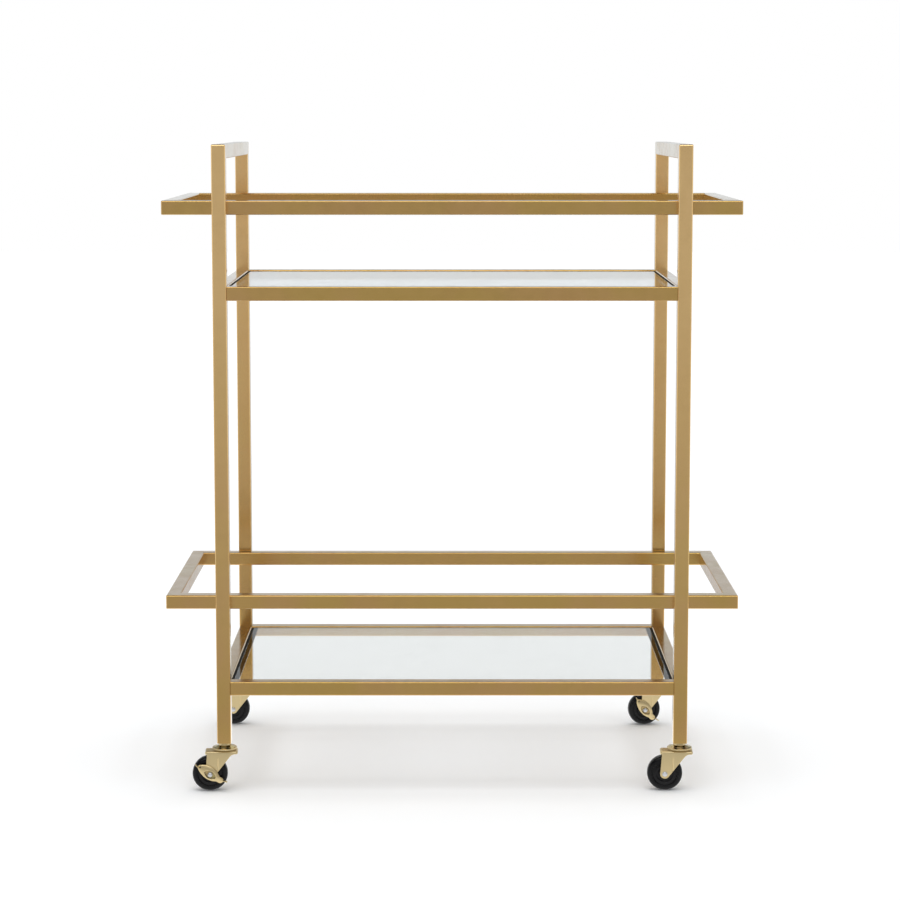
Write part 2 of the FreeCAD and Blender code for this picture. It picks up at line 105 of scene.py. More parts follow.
class NodeSheet:
    """A node tree that is being filled in."""

    def __init__(self, tree: Tree) -> None:
        """Keep the tree to add to."""
        self.tree = tree

    def feed(self, socket: Socket, value: object) -> None:
        """Give an input what it takes.

        Args:
            socket: The input.
            value: The socket to link to it, or a value of its own. A colour needs no alpha.
        """
        if isinstance(value, Socket):
            self.tree.links.new(value, socket)
        else:
            socket.default_value = (*value, 1.0) if socket.type == "RGBA" else value

    def add(self, kind: str, inputs: Mapping[str | int, object] | None = None, **settings: object) -> Node:
        """Add a node.

        Args:
            kind: The node's type.
            inputs: What its inputs take, by their names or places.
            settings: Properties to set on it.

        Returns:
            The new node.
        """
        node = self.tree.nodes.new(kind)
        for name, value in settings.items():
            setattr(node, name, value)
        for place, value in (inputs or {}).items():
            self.feed(node.inputs[place], value)
        return node

    def span(self, source: Socket, low: float, high: float, start: float = 0.0, stop: float = 1.0) -> Socket:
        """Carry a value from one range over to another, clamped.

        Args:
            source: The value to carry over.
            low: What comes out at the start of the source's range.
            high: What comes out at its end.
            start: The start of the source's range.
            stop: The end of the source's range.

        Returns:
            The socket with the carried value.
        """
        limits = {"From Min": start, "From Max": stop, "To Min": low, "To Max": high}
        return self.add("ShaderNodeMapRange", {"Value": source, **limits}).outputs["Result"]

    def sums(self, operation: str, *terms: object) -> Socket:
        """Do a sum.

        Args:
            operation: The name of the sum.
            terms: Its numbers, or the sockets that hold them.

        Returns:
            The socket with the result.
        """
        return self.add("ShaderNodeMath", dict(enumerate(terms)), operation=operation).outputs[0]

    def vectors(self, operation: str, first: Socket, second: object = None) -> Socket:
        """Do a sum on a vector.

        Args:
            operation: The name of the sum.
            first: The vector.
            second: The second vector, or the number that scales the first, or the socket of either.

        Returns:
            The socket with the resulting vector.
        """
        inputs: dict[str | int, object] = {0: first}
        if second is not None:
            inputs["Scale" if operation == "SCALE" else 1] = second
        return self.add("ShaderNodeVectorMath", inputs, operation=operation).outputs[0]

    def blend(self, share: Socket, first: object, second: object) -> Socket:
        """Mix two colours.

        Args:
            share: How much of the second colour shows.
            first: A colour, or the socket of one.
            second: A colour, or the socket of one.

        Returns:
            The socket with the mixed colour.
        """
        node = self.add("ShaderNodeMix", {"Factor": share}, data_type="RGBA")
        for name, colour in (("A", first), ("B", second)):
            self.feed(next(s for s in node.inputs if s.name == name and s.type == "RGBA"), colour)
        return next(s for s in node.outputs if s.type == "RGBA")

    def noise(self, vector: Socket, scale: float, detail: float, roughness: float = 0.5) -> Socket:
        """Add a noise pattern.

        Args:
            vector: Where the pattern is read.
            scale: Its fineness.
            detail: How many finer layers it has.
            roughness: How strong those are.

        Returns:
            The socket with the pattern's value.
        """
        inputs = {"Vector": vector, "Scale": scale, "Detail": detail, "Roughness": roughness}
        return self.add("ShaderNodeTexNoise", inputs).outputs["Fac"]

    def bump(self, height: Socket, strength: float, distance: float) -> Socket:
        """Raise a pattern on a surface.

        Args:
            height: The pattern.
            strength: How much of it shows.
            distance: Its depth in millimetres.

        Returns:
            The socket with the raised surface's normal.
        """
        inputs = {"Height": height, "Strength": strength, "Distance": distance * MM}
        return self.add("ShaderNodeBump", inputs).outputs["Normal"]

    def place(self, kind: str) -> Socket:
        """The coordinates of a kind."""
        return self.add("ShaderNodeTexCoord").outputs[kind]

    def apart(self, vector: Socket) -> Sequence[Socket]:
        """A vector's X, Y and Z."""
        return self.add("ShaderNodeSeparateXYZ", {"Vector": vector}).outputs

    def group(self, tree: Tree, **inputs: object) -> Mapping[str, Socket]:
        """Add a shader node group with what its inputs take, and give its outputs."""
        return self.add("ShaderNodeGroup", inputs, node_tree=tree).outputs

    def marks(self, place: Socket, fineness: float) -> Socket:
        """The handling marks at some coordinates, so many to the metre."""
        return self.group(handling_marks(), Vector=place, Fineness=fineness)["Mark"]

    def principled(self, **inputs: object) -> Socket:
        """A principled shader; the names of its inputs have underscores for spaces."""
        named = {name.replace("_", " "): value for name, value in inputs.items()}
        return self.add("ShaderNodeBsdfPrincipled", named).outputs["BSDF"]

    def either(self, share: Socket, first: Socket, second: Socket) -> Socket:
        """Mix two shaders by the share of the second."""
        return self.add("ShaderNodeMixShader", {"Fac": share, 1: first, 2: second}).outputs["Shader"]

    def mirrored(self) -> Socket:
        """Whether a ray comes from a reflection, as a value: one that came through glass isn't such a ray."""
        ray = self.add("ShaderNodeLightPath").outputs
        return self.sums("MULTIPLY", ray["Is Glossy Ray"], self.span(ray["Is Transmission Ray"], 1.0, 0.0))


def new_sheet(owner: bpy.types.ID) -> NodeSheet:
    """Clear the nodes of a material or world.

    Args:
        owner: The material or world.

    Returns:
        The empty sheet of its nodes.
    """
    owner.use_nodes = True
    owner.node_tree.nodes.clear()
    return NodeSheet(owner.node_tree)


def new_group(
    name: str, kind: str, inputs: Mapping[str, str], outputs: Mapping[str, str]
) -> tuple[NodeSheet, Mapping[str, Socket], Mapping[str, Socket]]:
    """Begin a node group.

    Args:
        name: The group's name.
        kind: The kind of its tree.
        inputs: Names and kinds of the values that go in.
        outputs: Names and kinds of the values that come out.

    Returns:
        The group's sheet, the sockets of what goes in and the sockets that take what comes out.
    """
    tree = bpy.data.node_groups.new(name, kind + "NodeTree")
    for way, sockets in (("INPUT", inputs), ("OUTPUT", outputs)):
        for socket, sort in sockets.items():
            tree.interface.new_socket(name=socket, in_out=way, socket_type="NodeSocket" + sort)
    sheet = NodeSheet(tree)
    return sheet, sheet.add("NodeGroupInput").outputs, sheet.add("NodeGroupOutput").inputs


@cache
def brushed_grain() -> Tree:
    """Long scratches of a brush: their height, and the tone of the wider streaks.

    Returns:
        The node group.
    """
    outputs = {"Height": "Float", "Streak": "Float"}
    sheet, start, end = new_group("brushed_grain", "Shader", {"Vector": "Vector"}, outputs)
    fine_share, wide_share = 0.45, 0.55
    fine = sheet.noise(start["Vector"], scale=3.0, detail=3.0, roughness=0.65)
    wide = sheet.noise(start["Vector"], scale=0.55, detail=2.0, roughness=0.6)
    streak = sheet.sums("MULTIPLY_ADD", fine, fine_share, sheet.sums("MULTIPLY", wide, wide_share))
    sheet.feed(end["Height"], sheet.span(fine, 0.0, 1.0, start=0.25, stop=0.75))
    sheet.feed(end["Streak"], sheet.span(streak, 0.0, 1.0, start=0.3, stop=0.7))
    return sheet.tree


@cache
def handling_marks() -> Tree:
    """Soft smudges where hands and cloths have been.

    Returns:
        The node group.
    """
    inputs = {"Vector": "Vector", "Fineness": "Float"}
    sheet, start, end = new_group("handling_marks", "Shader", inputs, {"Mark": "Float"})
    scaled = sheet.vectors("SCALE", start["Vector"], start["Fineness"])
    broad = sheet.noise(scaled, scale=1.0, detail=3.0, roughness=0.55)
    small = sheet.noise(scaled, scale=6.5, detail=2.0)
    mark = sheet.span(sheet.sums("MULTIPLY", broad, small), 0.0, 1.0, start=0.16, stop=0.40)
    sheet.feed(end["Mark"], mark)
    return sheet.tree


@cache
def plating_bloom() -> Tree:
    """The rosy and greenish clouds of a thin bright plating.

    Returns:
        The node group.
    """
    inputs = {"Vector": "Vector", "Plain": "Color", "Rosy": "Color", "Green": "Color"}
    sheet, start, end = new_group("plating_bloom", "Shader", inputs, {"Colour": "Color"})
    shift = (0.31, 0.17, 0.23)
    shifted = sheet.vectors("ADD", start["Vector"], shift)
    rosy = sheet.span(sheet.noise(start["Vector"], scale=74.0, detail=2.0), 0.0, 1.0, start=0.42, stop=0.6)
    green = sheet.span(sheet.noise(shifted, scale=60.0, detail=2.0), 0.0, 1.0, start=0.45, stop=0.62)
    tinted = sheet.blend(rosy, start["Plain"], start["Rosy"])
    sheet.feed(end["Colour"], sheet.blend(green, tinted, start["Green"]))
    return sheet.tree


# Finishes


@dataclass(frozen=True)
class Finish:
    """What every finish has: its material's name, and the record's slot that it belongs to.

    In each finish, gloss and lacquer are the values at a clean and at a marked or streaked spot, and relief
    is the strength and the depth of what is raised on its surface.
    """

    name: str = ""
    slot: str = ""

    @cache
    def material(self) -> Material:
        """The finish as a material, which is made once.

        Returns:
            The material.
        """
        material = bpy.data.materials.new(self.name)
        sheet = new_sheet(material)
        sheet.add("ShaderNodeOutputMaterial", {"Surface": self.surface(sheet, sheet.place("Object"))})
        return material

    def surface(self, sheet: NodeSheet, place: Socket) -> Socket:
        """Add the finish's shader to its material.

        Args:
            sheet: The material's nodes.
            place: The coordinates in the piece.

        Returns:
            The shader's socket.
        """
        raise NotImplementedError


@dataclass(frozen=True)
class FrameFinish(Finish):
    """A finish that keeps the plain material which the frame has for its slot."""

    def material(self) -> Material:
        """The frame's own material, which has the slot's name."""
        return bpy.data.materials[self.slot]


@dataclass(frozen=True)
class BrushedGold(Finish):
    """Steel tube, brushed along its length, gold plated and lacquered; it may be paler higher up, a painted
    sheen of the light that its upper part reflects.
    """

    slot: str = "frame_gold"
    grain: Grain = Grain.ALONG_X
    deep: Colour = (0.63, 0.39, 0.112)
    bright: Colour = (0.66, 0.412, 0.122)
    dull: Colour = (0.58, 0.375, 0.125)
    rosy: Colour = (0.64, 0.385, 0.13)
    green: Colour = (0.62, 0.40, 0.105)
    cloud_scale: float = 0.16
    scratch_length: float = 90.0
    scratch_width: float = 0.9
    relief: Pair = (0.05, 0.02)
    mark_fineness: float = 9.0
    mark_share: float = 0.35
    mark_haze: float = 0.06
    gloss: Pair = (0.21, 0.19)
    lacquer: Pair = (0.95, 0.7)
    lacquer_roughness: float = 0.12
    # The colour of the painted sheen at the top of an upright.
    painted_sheen: Colour = (0.96, 0.645, 0.28)
    sheen_from: float = 0.0
    sheen_full: float = 0.0

    def surface(self, sheet: NodeSheet, place: Socket) -> Socket:
        """The shader: scratched, clouded and marked under its lacquer.

        Args:
            sheet: The material's nodes.
            place: The coordinates in the piece.

        Returns:
            The shader's socket.
        """
        along = 1.0 / (self.scratch_length * MM)
        across = 1.0 / (self.scratch_width * MM)
        scale = [along if axis == self.grain.value else across for axis in "xyz"]
        mapping = sheet.add("ShaderNodeMapping", {"Vector": place, "Scale": scale})
        grain = sheet.group(brushed_grain(), Vector=mapping.outputs["Vector"])
        mark = sheet.marks(place, self.mark_fineness)
        tone = sheet.blend(grain["Streak"], self.deep, self.bright)
        tone = sheet.blend(sheet.span(mark, 0.0, self.mark_share), tone, self.dull)
        clouds = sheet.vectors("SCALE", place, self.cloud_scale)
        bloom = sheet.group(plating_bloom(), Vector=clouds, Plain=tone, Rosy=self.rosy, Green=self.green)
        tone = bloom["Colour"]
        # Paler towards the top: a painted sheen of reflected light.
        if self.sheen_full > self.sheen_from:
            height = sheet.apart(place)["Z"]
            share = sheet.span(height, 0.0, 1.0, self.sheen_from * MM, self.sheen_full * MM)
            tone = sheet.blend(share, tone, self.painted_sheen)
        gloss = sheet.span(grain["Streak"], *self.gloss)
        return sheet.principled(
            Base_Color=tone,
            Metallic=1.0,
            Roughness=sheet.sums("ADD", gloss, sheet.span(mark, 0.0, self.mark_haze)),
            Coat_Weight=sheet.span(mark, *self.lacquer),
            Coat_Roughness=self.lacquer_roughness,
            Normal=sheet.bump(grain["Height"], *self.relief),
        )


@dataclass(frozen=True)
class ShadedBrass(Finish):
    """Pressed steel with a thin brass-coloured plating, darker, which paints shade on the caps' tops and in
    the levers' eyes.
    """

    slot: str = "caster_brass"
    plain: Colour = (0.58, 0.43, 0.21)
    rosy: Colour = (0.60, 0.40, 0.23)
    green: Colour = (0.53, 0.44, 0.21)
    mark_fineness: float = 55.0
    gloss: Pair = (0.07, 0.16)
    wave_scale: float = 70.0
    relief: Pair = (0.8, 1.0)

    def surface(self, sheet: NodeSheet, place: Socket) -> Socket:
        """The shader: clouded, marked and a little wavy.

        Args:
            sheet: The material's nodes.
            place: The coordinates in the piece.

        Returns:
            The shader's socket.
        """
        bloom = sheet.group(plating_bloom(), Vector=place, Plain=self.plain, Rosy=self.rosy, Green=self.green)
        return sheet.principled(
            Base_Color=bloom["Colour"],
            Metallic=1.0,
            Roughness=sheet.span(sheet.marks(place, self.mark_fineness), *self.gloss),
            Normal=sheet.bump(sheet.noise(place, self.wave_scale, detail=2.0), *self.relief),
        )


@dataclass(frozen=True)
class BlackRubber(Finish):
    """Black rubber with a fine grit, which handling has marked."""

    clean: Colour = (0.006, 0.006, 0.006)
    marked: Colour = (0.014, 0.014, 0.014)
    mark_fineness: float = 40.0
    mark_share: float = 1.0
    gloss: Pair = (0.55, 0.75)
    specular: float = 0.15
    grit_scale: float = 900.0
    relief: Pair = (0.2, 0.05)

    def surface(self, sheet: NodeSheet, place: Socket) -> Socket:
        """The shader, with the marks in its colour and its gloss.

        Args:
            sheet: The material's nodes.
            place: The coordinates in the piece.

        Returns:
            The shader's socket.
        """
        mark = sheet.marks(place, self.mark_fineness)
        return sheet.principled(
            Base_Color=sheet.blend(sheet.span(mark, 0.0, self.mark_share), self.clean, self.marked),
            Roughness=sheet.span(mark, *self.gloss),
            Specular_IOR_Level=self.specular,
            Normal=sheet.bump(sheet.noise(place, self.grit_scale, detail=2.0), *self.relief),
        )


@dataclass(frozen=True)
class ShelfGlass(Finish):
    """Clear float glass, greener where the light goes through its edge."""

    name: str = "shelf_glass"
    slot: str = "glass"
    clear: Colour = (0.915, 0.93, 0.915)
    smeared: Colour = (0.885, 0.90, 0.885)
    shade: Colour = (0.96, 0.96, 0.96)
    index: float = 1.5
    mark_fineness: float = 5.0
    mark_haze: float = 0.03

    def surface(self, sheet: NodeSheet, place: Socket) -> Socket:
        """The shader, through which light falls without a dark shadow.

        Args:
            sheet: The material's nodes.
            place: The coordinates in the piece.

        Returns:
            The shader's socket.
        """
        mark = sheet.marks(place, self.mark_fineness)
        glass = sheet.principled(
            Base_Color=sheet.blend(mark, self.clear, self.smeared),
            Roughness=sheet.span(mark, 0.0, self.mark_haze),
            Transmission_Weight=1.0,
            IOR=self.index,
        )
        through = sheet.add("ShaderNodeBsdfTransparent", {"Color": self.shade}).outputs["BSDF"]
        ray = sheet.add("ShaderNodeLightPath").outputs
        lighting = sheet.sums("MAXIMUM", ray["Is Shadow Ray"], ray["Is Diffuse Ray"])
        return sheet.either(lighting, glass, through)


PLAIN_BRASS = FrameFinish(slot="caster_brass")
PLAIN_STEEL = FrameFinish(slot="bare_steel")
INSERT_PLASTIC = FrameFinish(slot="insert_plastic")
# Black for the strips round the panes: a painted shadow in the gaps between the bars and the glass.
GAP_SHADOW_RUBBER = BlackRubber("gap_shadow_rubber", "black_trim")
WHEEL_RUBBER = BlackRubber(
    "wheel_rubber", "wheel_black", (0.004, 0.004, 0.005), (0.011, 0.011, 0.011), 70.0, 0.7, (0.12, 0.3),
    specular=0.18, grit_scale=1500.0, relief=(0.15, 0.04),
)


# Meshes

TINY = 1e-9
WELD = 1e-7
SOLID_WELD = 1e-6
FACET_ANGLE = math.radians(0.6)
KEEN_ANGLE = math.radians(65)
# Each corner's sides in X and Y, and the angle at which its round starts
CORNERS = ((1, 1, 0), (-1, 1, 90), (-1, -1, 180), (1, -1, 270))


def circle(radius: float, height: float, count: int) -> Ring:
    """A ring of points about the Z axis."""
    angles = [2 * math.pi * step / count for step in range(count)]
    return [Vector((radius * math.cos(a), radius * math.sin(a), height)) for a in angles]


def lifted(outline: Profile, height: float) -> Ring:
    """An outline as a ring at a height."""
    return [Vector((x, y, height)) for x, y in outline]


def loft(bm: Mesh, rings: Sequence[Ring], closed: bool) -> None:
    """Skin a row of closed rings that have the same number of points.

    Args:
        bm: The mesh that takes the skin.
        rings: The rings in order, in millimetres.
        closed: Whether the last ring joins the first one; otherwise both are capped.
    """
    rows = [[bm.verts.new(point * MM) for point in ring] for ring in rings]
    count = len(rings[0])
    for row, following in zip(rows, rows[1:] + rows[:1] if closed else rows[1:]):
        for place in range(count):
            after = (place + 1) % count
            bm.faces.new((row[place], row[after], following[after], following[place]))
    if not closed:
        bm.faces.new(list(reversed(rows[0])))
        bm.faces.new(rows[-1])


def turned(bm: Mesh, profile: Profile, steps: int) -> None:
    """Turn a closed profile about the Z axis.

    Args:
        bm: The mesh that takes the turned shape.
        profile: Radius and height pairs in millimetres, round the section.
        steps: How many faces go round.
    """
    rings = []
    for way in circle(1.0, 0.0, steps):
        rings.append([way * radius + Vector((0.0, 0.0, height)) for radius, height in profile])
    loft(bm, rings, True)


def arc(centre: Pair, radius: float, start: float, stop: float, steps: int) -> Profile:
    """Points on an arc.

    Args:
        centre: The arc's centre.
        radius: Its radius.
        start: The angle at its first point, in degrees.
        stop: The angle at its last point.
        steps: How many runs it is divided into.

    Returns:
        The points, both ends among them.
    """
    angles = [math.radians(start + (stop - start) * step / steps) for step in range(steps + 1)]
    return [(centre[0] + radius * math.cos(a), centre[1] + radius * math.sin(a)) for a in angles]


def bow(start: Pair, middle: Pair, stop: Pair, steps: int) -> Profile:
    """Points on the arc through three points.

    Args:
        start: The arc's first point.
        middle: A point that it passes.
        stop: Its last point.
        steps: How many runs it is divided into.

    Returns:
        The points, both ends among them.
    """
    (ax, ay), (bx, by), (cx, cy) = start, middle, stop
    twice = 2 * (ax * (by - cy) + bx * (cy - ay) + cx * (ay - by))
    a2, b2, c2 = ax * ax + ay * ay, bx * bx + by * by, cx * cx + cy * cy
    x = (a2 * (by - cy) + b2 * (cy - ay) + c2 * (ay - by)) / twice
    y = (a2 * (cx - bx) + b2 * (ax - cx) + c2 * (bx - ax)) / twice
    first, past, last = (math.degrees(math.atan2(py - y, px - x)) for px, py in (start, middle, stop))
    sweep = (last - first) % 360
    if (past - first) % 360 > sweep:
        sweep -= 360
    return arc((x, y), math.hypot(ax - x, ay - y), first, first + sweep, steps)


def evenly(outline: Profile, gap: float) -> list[Vector]:
    """Walk round a closed outline in even steps.

    Args:
        outline: The outline's points.
        gap: About how long each step is.

    Returns:
        The points that are reached.
    """
    corners = [Vector(point) for point in outline]
    lengths = [(after - corner).length for corner, after in zip(corners, corners[1:] + corners[:1])]
    count = round(sum(lengths) / gap)
    points = []
    place, gone = 0, 0.0
    for step in range(count):
        target = sum(lengths) * step / count
        while gone + lengths[place] < target:
            gone += lengths[place]
            place += 1
        share = (target - gone) / max(lengths[place], TINY)
        points.append(corners[place].lerp(corners[(place + 1) % len(corners)], share))
    return points


def eased(points: list[Vector], times: int) -> list[Vector]:
    """Round the corners of a closed row of points by moving each towards its neighbours' middle.

    Args:
        points: The points.
        times: How often they are moved.

    Returns:
        The moved points.
    """
    for _ in range(times):
        points = [(points[i - 1] + 2 * p + points[(i + 1) % len(points)]) / 4 for i, p in enumerate(points)]
    return points


def rounded_rectangle(half_x: float, half_y: float, radius: float, steps: int) -> Profile:
    """The outline of a rectangle with round corners.

    Args:
        half_x: Half its length.
        half_y: Half its width.
        radius: The corners' radius.
        steps: How many runs each corner has.

    Returns:
        The points, anticlockwise.
    """
    points: Profile = []
    for side_x, side_y, start in CORNERS:
        centre = (side_x * (half_x - radius), side_y * (half_y - radius))
        points += arc(centre, radius, start, start + 90, steps)
    return points


def linked(name: str, data: bpy.types.ID) -> Piece:
    """Put a new object into the scene.

    Args:
        name: Its name.
        data: Its mesh, light or camera.

    Returns:
        The object.
    """
    piece = bpy.data.objects.new(name, data)
    bpy.context.scene.collection.objects.link(piece)
    return piece


def cleaned(name: str, bm: Mesh) -> bpy.types.Mesh:
    """Weld a mesh's points and turn its faces outward.

    Args:
        name: The name of the mesh.
        bm: The mesh under construction, which is used up.

    Returns:
        The mesh.
    """
    bmesh.ops.remove_doubles(bm, verts=bm.verts, dist=WELD)
    bmesh.ops.recalc_face_normals(bm, faces=bm.faces)
    mesh = bpy.data.meshes.new(name)
    bm.to_mesh(mesh)
    bm.free()
    return mesh


def applied(piece: Piece) -> bpy.types.Mesh:
    """The mesh of an object with its modifiers applied."""
    graph = bpy.context.evaluated_depsgraph_get()
    return bpy.data.meshes.new_from_object(piece.evaluated_get(graph), depsgraph=graph)


def punched(bm: Mesh, punch: Mesh) -> Mesh:
    """Cut one closed mesh out of another.

    Args:
        bm: The mesh to cut, which is used up.
        punch: What is cut out of it, which is used up.

    Returns:
        The mesh that is left.
    """
    blank, tool = (linked(name, cleaned(name, mesh)) for name, mesh in (("blank", bm), ("punch", punch)))
    modifier = blank.modifiers.new("hole", "BOOLEAN")
    modifier.object = tool
    modifier.operation = "DIFFERENCE"
    modifier.solver = "EXACT"
    cut = applied(blank)
    left = bmesh.new()
    left.from_mesh(cut)
    for scrap in (blank, tool):
        bpy.data.objects.remove(scrap)
    bpy.data.meshes.remove(cut)
    return left


def finished(
    name: str, bm: Mesh, materials: Iterable[Material], sharp: float = 35.0, flat_over: float = math.inf
) -> Piece:
    """Make an object of a mesh, with its faces outward and its round surfaces smooth.

    Args:
        name: The piece's name.
        bm: The mesh, which is used up.
        materials: Its materials in the order of its faces' indexes.
        sharp: Edges over this angle in degrees stay sharp.
        flat_over: Faces wider than this in millimetres stay flat.

    Returns:
        The object, at the origin.
    """
    mesh = cleaned(name, bm)
    for material in materials:
        mesh.materials.append(material)
    mesh.shade_smooth()
    mesh.set_sharp_from_angle(angle=math.radians(sharp))
    if flat_over < math.inf:
        measured = bmesh.new()
        measured.from_mesh(mesh)
        widths = [2 * face.calc_area() / face.calc_perimeter() for face in measured.faces]
        measured.free()
        for face, width in zip(mesh.polygons, widths):
            face.use_smooth = width < flat_over * MM
    return linked(name, mesh)


def placed(piece: Piece, body: str, slot: str, *nodes: str) -> Piece:
    """Tie a piece to its body, hide the solids that it stands for, and report it.

    Args:
        piece: The piece.
        body: The body that it moves with.
        slot: The record's material slot. It is not used.
        nodes: The solids that it replaces.

    Returns:
        The piece.
    """
    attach(piece, body)
    if nodes:
        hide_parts(*nodes)
    log.info("made %s on %s: %d faces", piece.name, body, len(piece.data.polygons))
    return piece


def softened(name: str, node: str, width: float, finish: Finish) -> Piece:
    """Copy a solid and round its sharp edges over.

    Args:
        name: The copy's name.
        node: The solid's name.
        width: How far each edge is rounded, in millimetres.
        finish: The copy's finish.

    Returns:
        The copy.
    """
    bm = bmesh.new()
    bm.from_mesh(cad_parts[node].data)
    bmesh.ops.remove_doubles(bm, verts=bm.verts, dist=SOLID_WELD)
    bmesh.ops.dissolve_limit(bm, angle_limit=FACET_ANGLE, verts=bm.verts, edges=bm.edges)
    keen = [edge for edge in bm.edges if edge.is_manifold and edge.calc_face_angle() > KEEN_ANGLE]
    bmesh.ops.bevel(
        bm, geom=keen, offset=width * MM, segments=2, profile=0.5, affect="EDGES", clamp_overlap=False
    )
    return finished(name, bm, (finish.material(),), sharp=30.0, flat_over=1.5)


def dressed(node: str, finish: Finish) -> None:
    """Give a solid that keeps its own shape its finish.

    Args:
        node: The solid's name.
        finish: Its finish.
    """
    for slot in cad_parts[node].material_slots:
        slot.material = finish.material()
    log.info("dressed %s as %s", node, finish.slot)


# The cart


@dataclass(frozen=True)
class TubeFrame:
    """The welded frame: legs, handle bars, shelf bars, rails and ledges, brushed along their length."""

    # The legs pale towards the top: a painted sheen.
    upright: BrushedGold = BrushedGold("brushed_gold_z", grain=Grain.ALONG_Z, sheen_from=100.0, sheen_full=860.0)
    lengthwise: BrushedGold = BrushedGold("brushed_gold_x", grain=Grain.ALONG_X)
    crosswise: BrushedGold = BrushedGold("brushed_gold_y", grain=Grain.ALONG_Y)

    def dress(self) -> None:
        """Dress every tube and ledge."""
        for side in ("left", "right"):
            for end in ("front", "rear"):
                dressed(f"{end}_{side}_leg", self.upright)
            dressed(f"{side}_handle_bar", self.crosswise)
        for level in Level:
            for part in ("shelf", "rail"):
                for end in ("front", "rear"):
                    dressed(f"{level.value}_{part}_{end}_bar", self.lengthwise)
                for side in ("left", "right"):
                    dressed(f"{level.value}_{part}_{side}_bar", self.crosswise)
            for side in ("left", "right"):
                dressed(f"{level.value}_{side}_ledge", self.crosswise)


@dataclass(frozen=True)
class GlassShelf:
    """One shelf's pane with its polished edge, and a black rubber strip in the gap round it, whose black
    paints the gap's shadow.
    """

    level: Level
    corner_radius: float = 4.0
    corner_steps: int = 8
    edge_radius: float = 0.9
    edge_steps: int = 4
    flat_rise: float = 0.999
    flat_width: float = 10.0
    strip_round: float = 0.6
    strip_ease: float = 0.3
    strip_fit: float = 0.05
    glass: ShelfGlass = ShelfGlass()
    edge: ShelfGlass = ShelfGlass("shelf_glass_edge", clear=(0.50, 0.80, 0.68), smeared=(0.46, 0.76, 0.64))
    rubber: BlackRubber = GAP_SHADOW_RUBBER

    def node(self, piece: str) -> str:
        """The name of one of this shelf's solids."""
        return f"{self.level.value}_glass_{piece}"

    def outline(self, node: str) -> tuple[float, float, float, float]:
        """Half length, half width, underside and top of a solid, in millimetres."""
        low, high = (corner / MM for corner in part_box(node))
        return high.x, high.y, low.z, high.z

    def round_ring(self, half_x: float, half_y: float, out: float, height: float) -> Ring:
        """A ring with the pane's round corners, moved out from the pane's edge.

        Args:
            half_x: Half the pane's length.
            half_y: Half its width.
            out: How far the ring lies outside it.
            height: The ring's height.

        Returns:
            The ring.
        """
        radius = self.corner_radius + out
        return lifted(rounded_rectangle(half_x + out, half_y + out, radius, self.corner_steps), height)

    def square_ring(self, half_x: float, half_y: float, reach: float, height: float) -> Ring:
        """The gasket's outer outline: square corners, with a point for each point of the pane's round ones.

        Args:
            half_x: Half the outline's length.
            half_y: Half its width.
            reach: How far each corner's points spread from the corner.
            height: The ring's height.

        Returns:
            The ring, anticlockwise.
        """
        points: Profile = []
        for side_x, side_y, start in CORNERS:
            for step in range(self.corner_steps + 1):
                angle = math.radians(start + 90 * step / self.corner_steps)
                way = Vector((math.cos(angle), math.sin(angle)))
                way *= reach / max(abs(way.x), abs(way.y))
                points.append((side_x * (half_x - reach) + way.x, side_y * (half_y - reach) + way.y))
        return lifted(points, height)

    def pane(self) -> Piece:
        """Make the pane, with its faces and its edge in different glass.

        Returns:
            The pane.
        """
        half_x, half_y, under, top = self.outline(self.node("shelf"))
        soft = self.edge_radius
        rounding = arc((-soft, under + soft), soft, -90, 0, self.edge_steps)
        rounding += arc((-soft, top - soft), soft, 0, 90, self.edge_steps)
        bm = bmesh.new()
        loft(bm, [self.round_ring(half_x, half_y, out, height) for out, height in rounding], False)
        bm.normal_update()
        for face in bm.faces:
            face.material_index = 0 if abs(face.normal.z) > self.flat_rise else 1
        glasses = (self.glass.material(), self.edge.material())
        pane = finished(f"{self.level.value}_pane", bm, glasses, flat_over=self.flat_width)
        return placed(pane, "frame", self.glass.slot, self.node("shelf"))

    def shadow_strip(self) -> Piece:
        """Make the black strip with a rounded top between the bars and the pane; its black is a painted
        shadow in the gap.

        Returns:
            The gasket.
        """
        outer_x, outer_y, under, top = self.outline(self.node("trim"))
        pane_x, pane_y, _, _ = self.outline(self.node("shelf"))
        reach = self.corner_radius + (outer_x - pane_x)
        soft, fit = self.strip_round, self.strip_fit
        ease = self.strip_ease * soft
        section = ((0.0, under), (0.0, top - soft), (ease, top - ease), (soft, top))
        rings = [self.square_ring(outer_x - fit - out, outer_y - fit - out, reach, z) for out, z in section]
        rings += [self.round_ring(pane_x, pane_y, fit + out, z) for out, z in reversed(section)]
        bm = bmesh.new()
        loft(bm, rings, True)
        # The strip's black rubber paints the shade in the gap round the pane.
        shadow_strip = finished(f"{self.level.value}_gasket", bm, (self.rubber.material(),), sharp=60.0)
        return placed(shadow_strip, "frame", self.rubber.slot, self.node("trim"))

    def build(self) -> None:
        """Make the shelf's pieces."""
        self.pane()
        self.shadow_strip()


@dataclass(frozen=True)
class Hexagon:
    """The outline of a hexagon head or nut with turned chamfers."""

    across: float
    side_steps: int = 8
    face_share: float = 0.47
    slope: float = math.tan(math.radians(30))

    @property
    def count(self) -> int:
        """How many points go round."""
        return 6 * self.side_steps

    @property
    def face(self) -> float:
        """The radius at which its chamfers start."""
        return self.face_share * self.across

    def ring(self, height: Callable[[float], float]) -> Ring:
        """The outline as a ring.

        Args:
            height: Gives the height of a point by its distance from the axis.

        Returns:
            The ring.
        """
        ring: Ring = []
        for step in range(self.count):
            angle = 2 * math.pi * step / self.count
            from_flat = (angle % (math.pi / 3)) - math.pi / 6
            radius = self.across / 2 / math.cos(from_flat)
            ring.append(Vector((radius * math.cos(angle), radius * math.sin(angle), height(radius))))
        return ring


